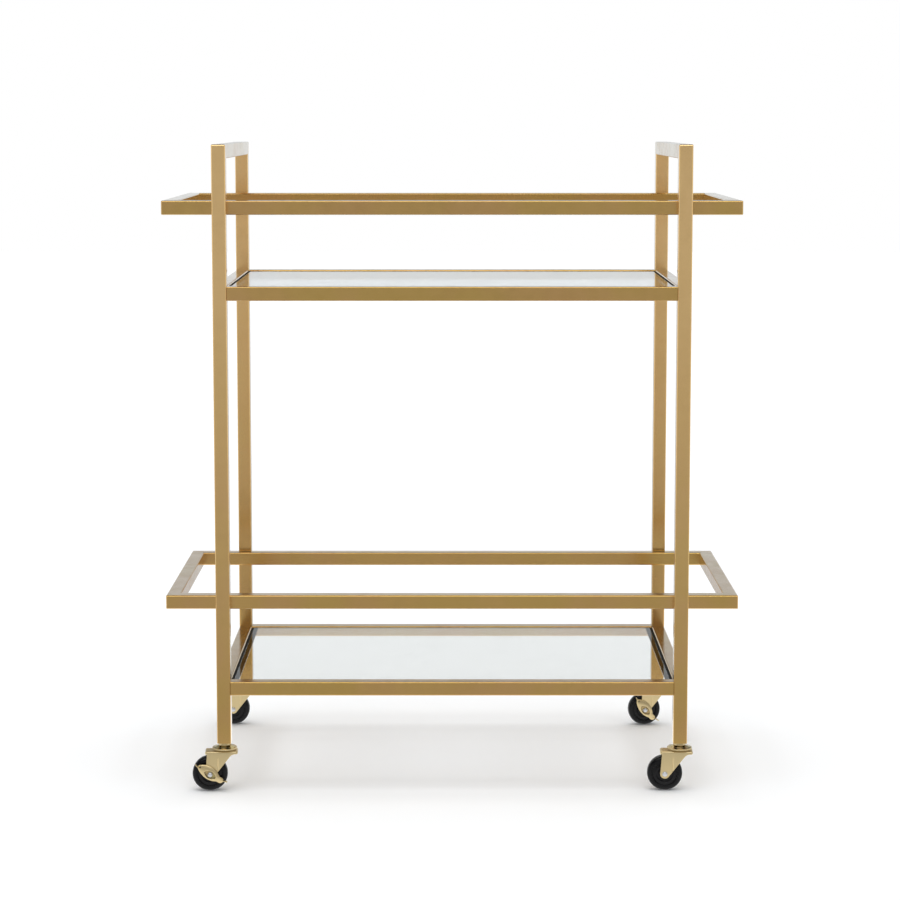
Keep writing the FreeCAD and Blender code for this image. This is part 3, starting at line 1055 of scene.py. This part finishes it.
@dataclass(frozen=True)
class LeverPressing:
    """A brake lever about its axle: a crowned pressing with a hollow eye, a hole and two bent tabs.

    Each pair of the eye's edge, floor, underside and root is a scale of its outline and a depth. The hole
    has its place along and across and its radius, and the tab its length, its depth and its bend.
    """

    front: float = 14.6
    half: float = 21.0
    rise: float = 2.4
    sheet: float = 1.2
    tip: Pair = (0.7, 4.1)
    crown: Pair = (-7.4, 10.6)
    notch: float = 12.5
    foot: float = 4.4
    run_steps: tuple[int, int, int] = (40, 24, 44)
    point_gap: float = 0.7
    easings: int = 3
    turned_back: float = 1.8
    turned_share: float = 0.36
    front_shares: tuple[float, ...] = (0.05, 0.15, 0.3, 0.5, 0.7, 0.86, 0.94)
    back_shares: tuple[float, ...] = (0.84, 0.7, 0.5, 0.3, 0.15, 0.05)
    rim_share: float = 0.02
    rim_round: float = 0.3
    rim_ease: float = 0.08
    eye: Pair = (9.6, 5.4)
    eye_depth: float = 1.8
    eye_edge: tuple[Pair, ...] = ((0.985, 0.1), (0.95, 0.4))
    eye_floor: tuple[Pair, ...] = ((0.9, -0.4), (0.86, -0.08), (0.82, 0.0))
    eye_underside: tuple[Pair, ...] = ((0.88, 0.0), (0.98, -0.4))
    eye_root: Pair = (1.06, 0.2)
    eye_painted: float = 0.97
    bore_radius: float = 2.58
    hole: tuple[float, float, float] = (-17.6, 2.4, 1.2)
    hole_steps: int = 32
    punch_half: float = 3.0
    punch_behind: float = 1.5
    tab: tuple[float, float, float] = (6.5, 5.7, 18.0)
    tab_round: float = 0.3

    @property
    def eye_arc(self) -> Pair:
        """The radius of the two arcs that make the eye, and how far beyond its middle their centres lie.

        Returns:
            The radius and the distance, in millimetres.
        """
        half_long, half_wide = self.eye
        radius = (half_long ** 2 + half_wide ** 2) / (2 * half_wide)
        return radius, radius - half_wide

    def outline(self) -> list[Vector]:
        """The outline about the axle: a crowned eye that runs out into a foot with a round end.

        Returns:
            The outline's points, about evenly apart.
        """
        end = self.half - self.foot
        below, round_end, above = self.run_steps
        runs = bow((-self.half, self.tip[0]), (0.0, self.crown[0]), (self.notch, -self.foot), below)
        runs += bow((end, -self.foot), (self.half, 0.0), (end, self.foot), round_end)
        runs += bow((self.notch, self.foot), (0.0, self.crown[1]), (-self.half, self.tip[1]), above)
        return eased(evenly(runs, self.point_gap), self.easings)

    def eye_outline(self, rim: list[Vector]) -> list[Vector]:
        """The eye's outline, with a point towards each point of the rim.

        Args:
            rim: The lever's outline.

        Returns:
            The eye's points.
        """
        radius, offset = self.eye_arc
        eye = []
        for point in rim:
            rise = abs(point.normalized().y)
            reach = math.sqrt(radius ** 2 - offset ** 2 * (1 - rise ** 2)) - offset * rise
            eye.append(point.normalized() * reach)
        return eye

    def at_depth(self, points: Iterable[Vector], depths: Iterable[float]) -> Ring:
        """Points of an outline, each set some way behind the lever's front."""
        return [Vector((point.x, behind - self.front, point.y)) for point, behind in zip(points, depths)]

    def rings(self) -> list[Ring]:
        """The surface as rings from the rim over the front to the bore and back again behind.

        Returns:
            The rings in order.
        """
        rim = self.outline()
        eye = self.eye_outline(rim)
        fall = [min(self.turned_back, self.turned_share * (out - near).length) for out, near in zip(rim, eye)]
        depth, sheet = self.eye_depth, self.sheet
        edge, ease = self.rim_round, self.rim_ease

        def plate(share: float, behind: float) -> Ring:
            """A ring of the crowned plate, at a share of the way from the rim to the eye."""
            points = [out.lerp(near, share) for out, near in zip(rim, eye)]
            return self.at_depth(points, [behind + drop * (1 - share) ** 2 for drop in fall])

        def hollow(scale: float, behind: float) -> Ring:
            """A ring of the hollow, as the eye's outline at a scale."""
            return self.at_depth([near * scale for near in eye], [behind] * len(eye))

        def bore(behind: float) -> Ring:
            """A ring of the bore."""
            points = [point.normalized() * self.bore_radius for point in rim]
            return self.at_depth(points, [behind] * len(rim))

        rings = [plate(0.0, edge), plate(self.rim_share, ease)]
        rings += [plate(share, 0.0) for share in self.front_shares]
        rings += [hollow(scale, behind) for scale, behind in self.eye_edge]
        rings += [hollow(scale, depth + behind) for scale, behind in self.eye_floor]
        rings += [bore(depth), bore(depth + sheet)]
        rings += [hollow(scale, depth + sheet + behind) for scale, behind in self.eye_underside]
        rings.append(hollow(self.eye_root[0], sheet + self.eye_root[1]))
        rings += [plate(share, sheet) for share in self.back_shares]
        rings += [plate(self.rim_share, sheet - ease), plate(0.0, sheet - edge)]
        return rings

    def punch(self) -> Mesh:
        """The punch of the small hole near the tip.

        Returns:
            The punch, as a closed mesh.
        """
        along, rise, radius = self.hole
        reach = self.punch_half
        bm = bmesh.new()
        turned(bm, [(0.0, -reach), (radius, -reach), (radius, reach), (0.0, reach)], self.hole_steps)
        bmesh.ops.rotate(bm, matrix=Matrix.Rotation(math.radians(90), 3, "X"), verts=bm.verts)
        middle = Vector((along, self.punch_behind - self.front, rise))
        bmesh.ops.translate(bm, vec=middle * MM, verts=bm.verts)
        return bm

    def bend_tabs(self, bm: Mesh) -> None:
        """Add the tabs that are bent up at both ends.

        Args:
            bm: The lever's mesh.
        """
        long, deep, bend = self.tab
        middle = Vector((long / 2, self.sheet - deep / 2 - self.front, -self.sheet / 2))
        hinge = Vector((self.half - self.sheet, 0, self.rise))
        for side in (-1, 1):
            tab = bmesh.ops.create_cube(bm, size=1.0)["verts"]
            bmesh.ops.scale(bm, vec=Vector((long, deep, self.sheet)) * MM, verts=tab)
            bmesh.ops.translate(bm, vec=middle * MM, verts=tab)
            bmesh.ops.rotate(bm, matrix=Matrix.Rotation(math.radians(-bend), 3, "Y"), verts=tab)
            bmesh.ops.translate(bm, vec=hinge * MM, verts=tab)
            if side < 0:
                bmesh.ops.scale(bm, vec=(-1, 1, 1), verts=tab)
            edges = list({edge for vert in tab for edge in vert.link_edges})
            soft = self.tab_round * MM
            bmesh.ops.bevel(bm, geom=edges, offset=soft, segments=2, profile=0.5, affect="EDGES")

    def paint_eye(self, bm: Mesh) -> None:
        """Give the faces in the eye the second finish, a darker brass that paints the shade in the hollow.

        Args:
            bm: The lever's mesh.
        """
        radius, offset = self.eye_arc
        for face in bm.faces:
            spot = face.calc_center_median() / MM
            face.material_index = int(math.hypot(spot.x, abs(spot.z) + offset) < self.eye_painted * radius)

    def mesh(self) -> Mesh:
        """The whole pressing.

        Returns:
            The mesh, with the eye's faces in the second finish.
        """
        shell = bmesh.new()
        loft(shell, self.rings(), True)
        bm = punched(shell, self.punch())
        self.bend_tabs(bm)
        self.paint_eye(bm)
        return bm


@dataclass(frozen=True)
class Caster:
    """One swivel caster: its stem, cap, wheel, fork, axle and perhaps brake lever, and their finishes.

    Each pair of a profile is a radius, or how far it lies outside one, and a rise.
    """

    corner: Corner
    turn: float
    braked: bool = False
    lever_tilt: float = 0.0
    trail: float = 21.0
    steps: int = 96
    edge_steps: int = 4
    brow_steps: int = 5
    shoulder_steps: int = 12
    dome_steps: int = 10
    stem_radius: float = 4.0
    stem_top: float = 95.8
    stem_chamfer: float = 1.0
    foot_radius: float = 6.5
    foot_under: float = 54.72
    foot_top: float = 56.72
    foot_round: tuple[Pair, ...] = ((-1.2, 0.0), (-0.4, 0.3), (0.0, 0.9))
    head: Hexagon = Hexagon(15.0)
    head_under: float = 65.8
    head_top: float = 69.8
    cap_bore: float = 4.08
    cap_radius: float = 17.69
    cap_under: float = 61.2
    cap_top: float = 65.8
    cap_hollow: tuple[Pair, ...] = ((10.2, 0.0), (10.8, 0.9), (16.2, 0.9), (16.7, 0.0))
    cap_lip: float = 0.6
    cap_brow: float = 0.8
    cap_brow_rise: float = 1.3
    cap_brow_angle: float = 80.0
    cap_step: tuple[Pair, ...] = ((13.4, 2.75), (13.1, 2.85), (12.9, 3.35), (12.6, 3.5))
    cap_seat: float = 9.4
    cap_seat_edge: tuple[Pair, ...] = ((0.2, -0.25), (0.0, -0.15), (-0.5, 0.0))
    cap_shade_over: float = 2.15
    wheel_radius: float = 25.4
    wheel_half: float = 8.25
    wheel_shoulder: float = 5.0
    wheel_shoulder_angle: float = 88.0
    wheel_rim_inside: float = 17.8
    wheel_rim_edge: float = 0.5
    wheel_dish: float = 1.6
    wheel_dish_root: float = 0.7
    wheel_draft: float = 0.2
    wheel_draft_angle: float = 10.0
    wheel_ring: tuple[Pair, ...] = ((12.4, 0.0), (12.7, 0.3), (13.3, 0.3), (13.6, 0.0))
    wheel_groove: tuple[Pair, ...] = ((19.0, 0.0), (19.2, -0.25), (19.5, -0.25), (19.7, 0.0))
    hub_radius: float = 9.0
    hub_half: float = 9.1
    hub_edge: float = 0.6
    hub_root: float = 0.8
    wheel_bore: float = 4.08
    bore_chamfer: float = 0.4
    seam_height: float = 0.1
    seam_foot: float = 0.35
    seam_crest: float = 0.15
    tread_gap: float = 0.02
    press_round: float = 0.6
    pressing: LeverPressing = LeverPressing()
    lever_fit: float = 0.15
    bolt_seat: float = 11.45
    bolt_radius: float = 3.78
    bolt_height: float = 2.58
    bolt_rim: float = 0.5
    bolt_edge: float = 0.15
    shank_radius: float = 2.5
    shank_end: float = 16.2
    shank_chamfer: float = 0.4
    nut: Hexagon = Hexagon(8.0)
    nut_height: float = 4.0
    nut_bore: float = 2.56
    nut_chamfer: float = 0.3
    brass: FrameFinish = PLAIN_BRASS
    # Darker brass for the top of the cap: painted shade where the dome reflects the dark underside of the
    # leg.
    dome_shade: ShadedBrass = ShadedBrass("dome_shade_brass")
    # Darker brass in the lever's eye: painted shade in the hollow round the axle head.
    eye_shade: ShadedBrass = ShadedBrass(
        "eye_shade_brass", plain=(0.34, 0.25, 0.12), rosy=(0.36, 0.24, 0.13), green=(0.31, 0.26, 0.12)
    )
    steel: FrameFinish = PLAIN_STEEL
    rubber: BlackRubber = WHEEL_RUBBER

    def node(self, piece: str) -> str:
        """The name of one of this caster's solids."""
        return f"{self.corner.value}_caster_{piece}"

    def place(self, turned_too: bool) -> Matrix:
        """Where the caster stands.

        Args:
            turned_too: Whether the piece follows the fork's turn.

        Returns:
            The matrix from the caster's own frame, with its stem on Z, to the cart's.
        """
        low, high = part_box(self.node("stem"))
        middle = (low + high) / 2
        turn = math.radians(self.turn if turned_too else 0.0)
        return Matrix.Translation((middle.x, middle.y, 0.0)) @ Matrix.Rotation(turn, 4, "Z")

    def on_axle(self, turn: float, axis: str) -> Matrix:
        """Where a piece about the axle stands, after a turn of its own in degrees about an axis."""
        axle = Matrix.Translation((-self.trail * MM, 0.0, self.wheel_radius * MM))
        return self.place(True) @ axle @ Matrix.Rotation(math.radians(turn), 4, axis)

    def fitted(
        self, piece: str, bm: Mesh, finishes: Sequence[Finish], where: Matrix, body: str, sharp: float = 35.0
    ) -> Piece:
        """Finish one of the caster's meshes and fit it in its place.

        Args:
            piece: Which piece it is.
            bm: Its mesh, which is used up.
            finishes: Its finishes in the order of its faces' indexes.
            where: Its place in the cart.
            body: The body that it moves with.
            sharp: Edges over this angle in degrees stay sharp.

        Returns:
            The piece.
        """
        node = self.node(piece)
        made = finished(node + "_fine", bm, [finish.material() for finish in finishes], sharp)
        made.data.transform(where)
        return placed(made, body, finishes[0].slot, node)

    def stem(self) -> Piece:
        """Make the stem: its hexagon with turned chamfers, the neck, and the riveted foot under the fork.

        Returns:
            The stem.
        """
        head, under, top = self.head, self.head_under, self.head_top
        lower = [(self.foot_radius + out, self.foot_under + rise) for out, rise in self.foot_round]
        lower += [(self.foot_radius, self.foot_top), (self.stem_radius, self.foot_top)]
        lower += [(self.stem_radius, under), (head.face, under)]
        upper = [(head.face, top), (self.stem_radius, top)]
        upper.append((self.stem_radius, self.stem_top - self.stem_chamfer))
        upper.append((self.stem_radius - self.stem_chamfer, self.stem_top))
        rings = [circle(radius, height, head.count) for radius, height in lower]
        rings.append(head.ring(lambda radius: under + (radius - head.face) * head.slope))
        rings.append(head.ring(lambda radius: top - (radius - head.face) * head.slope))
        rings += [circle(radius, height, head.count) for radius, height in upper]
        bm = bmesh.new()
        loft(bm, rings, False)
        return self.fitted("stem", bm, (self.brass,), self.place(False), "frame")

    def cap(self) -> Piece:
        """Make the cap: a pressed dome with a bead inside its rim and a hollow underside, the top of the dome
        in a darker brass that paints shade.

        Returns:
            The cap.
        """
        rim, top, seat = self.cap_under, self.cap_top, self.cap_seat
        lip, brow = self.cap_lip, self.cap_brow
        profile: Profile = [(self.cap_bore, rim)]
        profile += [(radius, rim + rise) for radius, rise in self.cap_hollow]
        profile += arc((self.cap_radius - lip, rim + lip), lip, -90, 0, self.edge_steps)
        centre = (self.cap_radius - brow, rim + self.cap_brow_rise)
        profile += arc(centre, brow, 0, self.cap_brow_angle, self.brow_steps)
        profile += [(radius, rim + rise) for radius, rise in self.cap_step]
        profile += [(seat + out, top + rise) for out, rise in self.cap_seat_edge]
        profile.append((self.cap_bore, top))
        bm = bmesh.new()
        turned(bm, profile, self.steps)
        # Faces above the bead take the darker brass, a painted shade.
        for face in bm.faces:
            face.material_index = int(face.calc_center_median().z > (rim + self.cap_shade_over) * MM)
        return self.fitted("cap", bm, (self.brass, self.dome_shade), self.place(False), "frame")

    def wheel_side(self) -> Profile:
        """Half of the wheel's section: from the bore over hub, dish, rim and shoulder to the tread's middle.

        Returns:
            The section's radius and height pairs.
        """
        face, hub = self.wheel_half, self.hub_half
        floor = face - self.wheel_dish
        crest = self.wheel_radius - self.tread_gap
        tread = crest - self.seam_height
        edge, root, dish, rim = self.hub_edge, self.hub_root, self.wheel_dish_root, self.wheel_rim_edge
        shoulder, chamfer, steps = self.wheel_shoulder, self.bore_chamfer, self.edge_steps
        inside, draft = self.wheel_rim_inside, self.wheel_draft_angle
        side: Profile = [(self.wheel_bore, hub - chamfer), (self.wheel_bore + chamfer, hub)]
        side += arc((self.hub_radius - edge, hub - edge), edge, 90, 0, steps)
        side += arc((self.hub_radius + root, floor + root), root, 180, 270, steps)
        side += [(radius, floor + rise) for radius, rise in self.wheel_ring]
        side += arc((inside - dish - self.wheel_draft, floor + dish), dish, 270, 360 - draft, steps)
        side += arc((inside + rim, face - rim), rim, 180 - draft, 90, steps)
        side += [(radius, face + rise) for radius, rise in self.wheel_groove]
        centre = (tread - shoulder, face - shoulder)
        side += arc(centre, shoulder, self.wheel_shoulder_angle, 0, self.shoulder_steps)
        side += [(tread, self.seam_foot), (crest, self.seam_crest)]
        return side

    def wheel(self) -> Piece:
        """Make the wheel: moulded with a ring in its dish, a groove in its rim and a seam round its tread.

        Returns:
            The wheel.
        """
        side = self.wheel_side()
        bm = bmesh.new()
        turned(bm, side + [(radius, -along) for radius, along in reversed(side)], self.steps)
        where = self.on_axle(-90, "X")
        return self.fitted("wheel", bm, (self.rubber,), where, f"{self.corner.value}_wheel", sharp=50.0)

    def fork(self) -> Piece:
        """Make the fork, with the rounded edges of pressed sheet."""
        fork = softened(self.node("fork") + "_fine", self.node("fork"), self.press_round, self.brass)
        return placed(fork, f"{self.corner.value}_fork", self.brass.slot, self.node("fork"))

    def lever(self) -> Piece:
        """Make the brake lever, with painted shade in its eye.

        Returns:
            The lever.
        """
        finishes = (self.brass, self.eye_shade)
        where = self.on_axle(self.lever_tilt, "Y")
        body = f"{self.corner.value}_brake"
        return self.fitted("brake_lever", self.pressing.mesh(), finishes, where, body, sharp=40.0)

    def axle(self) -> Piece:
        """Make the axle bolt: a domed head in front, a plain shank, and a chamfered nut behind.

        Returns:
            The axle.
        """
        seat = self.bolt_seat + (self.pressing.sheet + 2 * self.lever_fit if self.braked else 0.0)
        rim = seat + self.bolt_rim
        rise = self.bolt_height - self.bolt_rim
        ball = (self.bolt_radius ** 2 + rise ** 2) / (2 * rise)
        crown = math.degrees(math.asin(self.bolt_radius / ball))
        dome = arc((0.0, rim + rise - ball), ball, 90 - crown, 90, self.dome_steps)
        shank, chamfer, edge = self.shank_radius, self.shank_chamfer, self.bolt_edge
        profile: Profile = [(0.0, -self.shank_end), (shank - chamfer, -self.shank_end)]
        profile += [(shank, chamfer - self.shank_end), (shank, seat)]
        profile += [(self.bolt_radius - edge, seat), (self.bolt_radius, seat + edge)]
        profile += [(max(radius, 0.0), height) for radius, height in dome]
        bm = bmesh.new()
        turned(bm, profile, self.steps // 2)
        nut, bore = self.nut, self.nut_bore
        near, far = -self.bolt_seat, -self.bolt_seat - self.nut_height
        rings = [circle(bore, near, nut.count), nut.ring(lambda radius: near)]
        rings.append(nut.ring(lambda radius: far + max(radius - nut.face, 0.0) * nut.slope))
        rings += [circle(nut.face, far, nut.count), circle(bore + self.nut_chamfer, far, nut.count)]
        rings.append(circle(bore, far + self.nut_chamfer, nut.count))
        loft(bm, rings, True)
        return self.fitted("axle", bm, (self.steel,), self.on_axle(90, "X"), f"{self.corner.value}_fork")

    def build(self) -> None:
        """Make and dress the caster's pieces."""
        self.stem()
        self.cap()
        self.wheel()
        self.fork()
        if self.braked:
            self.lever()
        self.axle()
        dressed(self.node("bush"), self.steel)


@dataclass(frozen=True)
class BallRaces:
    """The balls between the forks and the caps, set round each stem by one node tree."""

    casters: tuple[Caster, ...]
    count: int = 14
    pitch_radius: float = 7.0
    ball_radius: float = 1.5
    height: float = 59.6
    segments: int = 16
    steel: FrameFinish = PLAIN_STEEL

    def tree(self) -> Tree:
        """The node tree that sets balls round a circle, with its sizes as named inputs.

        Returns:
            The tree.
        """
        inputs = {"Balls": "Int", "Pitch Radius": "Float", "Ball Radius": "Float"}
        inputs |= {"Height": "Float", "Segments": "Int", "Finish": "Material"}
        sheet, start, end = new_group("ball_race", "Geometry", inputs, {"Geometry": "Geometry"})
        sizes = {"Vertices": start["Balls"], "Radius": start["Pitch Radius"]}
        row = sheet.add("GeometryNodeMeshCircle", sizes, fill_type="NONE").outputs["Mesh"]
        up = sheet.add("ShaderNodeCombineXYZ", {"Z": start["Height"]}).outputs["Vector"]
        row = sheet.add("GeometryNodeTransform", {"Geometry": row, "Translation": up}).outputs["Geometry"]
        rings = sheet.sums("DIVIDE", start["Segments"], 2.0)
        sizes = {"Segments": start["Segments"], "Rings": rings, "Radius": start["Ball Radius"]}
        ball = sheet.add("GeometryNodeMeshUVSphere", sizes).outputs["Mesh"]
        ball = sheet.add("GeometryNodeSetShadeSmooth", {"Geometry": ball}).outputs["Geometry"]
        spread = sheet.add("GeometryNodeInstanceOnPoints", {"Points": row, "Instance": ball})
        race = sheet.add("GeometryNodeRealizeInstances", {"Geometry": spread.outputs["Instances"]})
        solid = race.outputs["Geometry"]
        plated = sheet.add("GeometryNodeSetMaterial", {"Geometry": solid, "Material": start["Finish"]})
        sheet.feed(end["Geometry"], plated.outputs["Geometry"])
        return sheet.tree

    def race(self) -> bpy.types.Mesh:
        """One race about the Z axis, as a plain mesh.

        Returns:
            The race's mesh.
        """
        tree = self.tree()
        holder = linked("race_holder", bpy.data.meshes.new("race_holder"))
        modifier = holder.modifiers.new("race", "NODES")
        modifier.node_group = tree
        values = {
            "Balls": self.count, "Pitch Radius": self.pitch_radius * MM, "Ball Radius": self.ball_radius * MM,
            "Height": self.height * MM, "Segments": self.segments, "Finish": self.steel.material(),
        }
        for socket in tree.interface.items_tree:
            if socket.in_out == "INPUT":
                modifier[socket.identifier] = values[socket.name]
        mesh = applied(holder)
        holder.modifiers.remove(modifier)
        bpy.data.objects.remove(holder)
        return mesh

    def build(self) -> Piece:
        """Make the four races as one piece.

        Returns:
            The piece.
        """
        race = self.race()
        bm = bmesh.new()
        for caster in self.casters:
            copy = race.copy()
            copy.transform(caster.place(False))
            bm.from_mesh(copy)
            bpy.data.meshes.remove(copy)
        balls = finished("race_balls", bm, (self.steel.material(),), sharp=180.0)
        return placed(balls, "frame", self.steel.slot, "caster_balls")


@dataclass(frozen=True)
class BarCart:
    """The whole cart."""

    tubes: TubeFrame = TubeFrame()
    shelves: tuple[GlassShelf, ...] = (GlassShelf(Level.UPPER), GlassShelf(Level.LOWER))
    casters: tuple[Caster, ...] = (
        Caster(Corner.FRONT_LEFT, 3.5, True, lever_tilt=30.0),
        Caster(Corner.FRONT_RIGHT, -2.5),
        Caster(Corner.REAR_LEFT, -1.5),
        Caster(Corner.REAR_RIGHT, 6.5, True, lever_tilt=46.0),
    )
    plastic: FrameFinish = INSERT_PLASTIC

    def build(self) -> None:
        """Make and dress every piece."""
        self.tubes.dress()
        for shelf in self.shelves:
            shelf.build()
        for caster in self.casters:
            caster.build()
        BallRaces(self.casters).build()
        dressed("leg_inserts", self.plastic)


# The studio


@dataclass(frozen=True)
class SoftSky:
    """A wide soft light from straight above, as even on the far floor as under the cart."""

    strength: float = 1.17
    width: float = 44.0
    lean: float = 2.0

    def build(self) -> None:
        """Hang the light."""
        data = bpy.data.lights.new("soft_sky", "SUN")
        data.energy = self.strength
        data.angle = math.radians(self.width)
        light = linked("soft_sky", data)
        light.rotation_euler = (math.radians(self.lean), 0.0, 0.0)
        light.visible_glossy = False
        light.visible_transmission = False
        log.info("hung %s", light.name)


@dataclass(frozen=True)
class FloorPaint(Finish):
    """The floor's white paint, of which a mirror sees other tones before, beside and behind the cart.

    Each edge is the stretch of the floor over which a tone changes.
    """

    name: str = "studio_floor"
    paint: Colour = (0.965, 0.98, 0.995)
    far_tone: float = 0.54
    near_tone: float = 0.76
    near_edge: Pair = (-0.52, -0.32)
    foot_gain: float = 0.4
    foot_edge: Pair = (-0.38, -0.25)
    back_share: float = 0.56
    back_edge: Pair = (0.2, 0.6)
    side_gain: float = 0.3
    side_edge: Pair = (0.7, 2.4)

    def surface(self, sheet: NodeSheet, place: Socket) -> Socket:
        """The shader: paint, and in a mirror a glow.

        Args:
            sheet: The material's nodes.
            place: The coordinates in the piece.

        Returns:
            The shader's socket.
        """
        x, y, _ = sheet.apart(place)
        tone = sheet.span(y, self.far_tone, self.near_tone, *self.near_edge)
        tone = sheet.sums("ADD", tone, sheet.span(y, 0.0, self.foot_gain, *self.foot_edge))
        tone = sheet.sums("MULTIPLY", tone, sheet.span(y, 1.0, self.back_share, *self.back_edge))
        gain = sheet.span(sheet.sums("ABSOLUTE", x), 1.0, 1.0 + self.side_gain, *self.side_edge)
        tone = sheet.sums("MULTIPLY", tone, gain)
        paint = sheet.add("ShaderNodeBsdfDiffuse", {"Color": self.paint}).outputs["BSDF"]
        glow = sheet.add("ShaderNodeEmission", {"Color": tone}).outputs["Emission"]
        return sheet.either(sheet.mirrored(), paint, glow)


@dataclass(frozen=True)
class Room:
    """The room: white to the eye, evenly lit, and in a mirror dimmer on the camera's side and higher up.

    Each edge is the stretch of a direction's Y or Z over which a tone changes.
    """

    ambient: float = 0.75
    front_tone: float = 0.55
    side_tone: float = 0.9
    front_edge: Pair = (-0.9, -0.4)
    back_share: float = 0.95
    back_edge: Pair = (0.2, 0.9)
    back_tint: Colour = (0.935, 0.975, 1.0)
    tint_edge: Pair = (-0.4, 0.2)
    upper_loss: Pair = (0.78, 0.62)
    upper_edge: Pair = (0.02, 0.23)
    upper_lift: float = 0.09
    turn_edge: Pair = (-0.4, 0.4)
    lamp_tone: float = 2.4
    lamp_edge: Pair = (-0.85, -0.6)
    lamp_under: Pair = (0.45, 0.55)
    lamp_over: Pair = (0.86, 0.94)

    def mirror_tone(self, sheet: NodeSheet) -> Socket:
        """Add what a mirror sees of the room.

        Args:
            sheet: The world's nodes.

        Returns:
            The socket with the colour that lies in a ray's direction.
        """
        way = sheet.place("Generated")
        level = sheet.vectors("NORMALIZE", sheet.vectors("MULTIPLY", way, (1.0, 1.0, 0.0)))
        y, z = sheet.apart(level)["Y"], sheet.apart(way)["Z"]
        tone = sheet.span(y, self.front_tone, self.side_tone, *self.front_edge)
        tone = sheet.sums("MULTIPLY", tone, sheet.span(y, 1.0, self.back_share, *self.back_edge))
        height = sheet.sums("SUBTRACT", z, sheet.span(y, 0.0, self.upper_lift, *self.turn_edge))
        loss = sheet.span(y, *self.upper_loss, *self.turn_edge)
        loss = sheet.sums("MULTIPLY", loss, sheet.span(height, 0.0, 1.0, *self.upper_edge))
        tone = sheet.sums("SUBTRACT", tone, sheet.sums("MULTIPLY", tone, loss))
        lamp = sheet.span(y, self.lamp_tone, 0.0, *self.lamp_edge)
        lamp = sheet.sums("MULTIPLY", lamp, sheet.span(z, 0.0, 1.0, *self.lamp_under))
        lamp = sheet.sums("MULTIPLY", lamp, sheet.span(z, 1.0, 0.0, *self.lamp_over))
        tint = sheet.blend(sheet.span(y, 0.0, 1.0, *self.tint_edge), WHITE, self.back_tint)
        return sheet.vectors("SCALE", tint, sheet.sums("ADD", tone, lamp))

    def build(self) -> None:
        """Paint the room."""
        world = bpy.data.worlds.new("studio")
        bpy.context.scene.world = world
        sheet = new_sheet(world)
        ray = sheet.add("ShaderNodeLightPath").outputs
        unlit = sheet.sums("LESS_THAN", ray["Diffuse Depth"], 0.5)
        through = sheet.sums("MULTIPLY", ray["Is Transmission Ray"], unlit)
        direct = sheet.sums("MAXIMUM", ray["Is Camera Ray"], through)
        shades = []
        for colour, strength in ((WHITE, self.ambient), (WHITE, 1.0), (self.mirror_tone(sheet), 1.0)):
            shade = sheet.add("ShaderNodeBackground", {"Color": colour, "Strength": strength})
            shades.append(shade.outputs["Background"])
        ambient, seen, mirrored = shades
        surface = sheet.either(sheet.mirrored(), sheet.either(direct, ambient, seen), mirrored)
        sheet.add("ShaderNodeOutputWorld", {"Surface": surface})


@dataclass(frozen=True)
class Studio:
    """A white room with a pale floor, soft light from above, and the camera at the photograph's place."""

    floor_half: float = 14.0
    paint: FloorPaint = FloorPaint()
    room: Room = Room()
    sky: SoftSky = SoftSky()
    lens: float = 97.77
    sensor: float = 36.0
    eye: tuple[float, float, float] = (-0.003, -3.63, 0.9616)
    pitch: float = 6.385
    shift: float = -0.065

    def floor(self) -> None:
        """Lay the floor."""
        bm = bmesh.new()
        bmesh.ops.create_grid(bm, x_segments=2, y_segments=2, size=self.floor_half)
        floor = finished("studio_floor", bm, (self.paint.material(),))

    def camera(self) -> None:
        """Set up the camera."""
        data = bpy.data.cameras.new("camera")
        data.lens = self.lens
        data.sensor_width = self.sensor
        data.shift_y = self.shift
        camera = linked("camera", data)
        camera.location = self.eye
        camera.rotation_euler = (math.radians(90 - self.pitch), 0.0, 0.0)
        bpy.context.scene.camera = camera

    def build(self) -> None:
        """Set up the camera, the room, the floor and the light."""
        bpy.context.scene.view_settings.view_transform = "Standard"
        self.camera()
        self.room.build()
        self.floor()
        self.sky.build()


def main() -> None:
    """Build the studio and the cart, and report each piece."""
    logging.basicConfig(level=logging.INFO, format="%(message)s")
    Studio().build()
    BarCart().build()


if __name__ == "__main__":
    main()
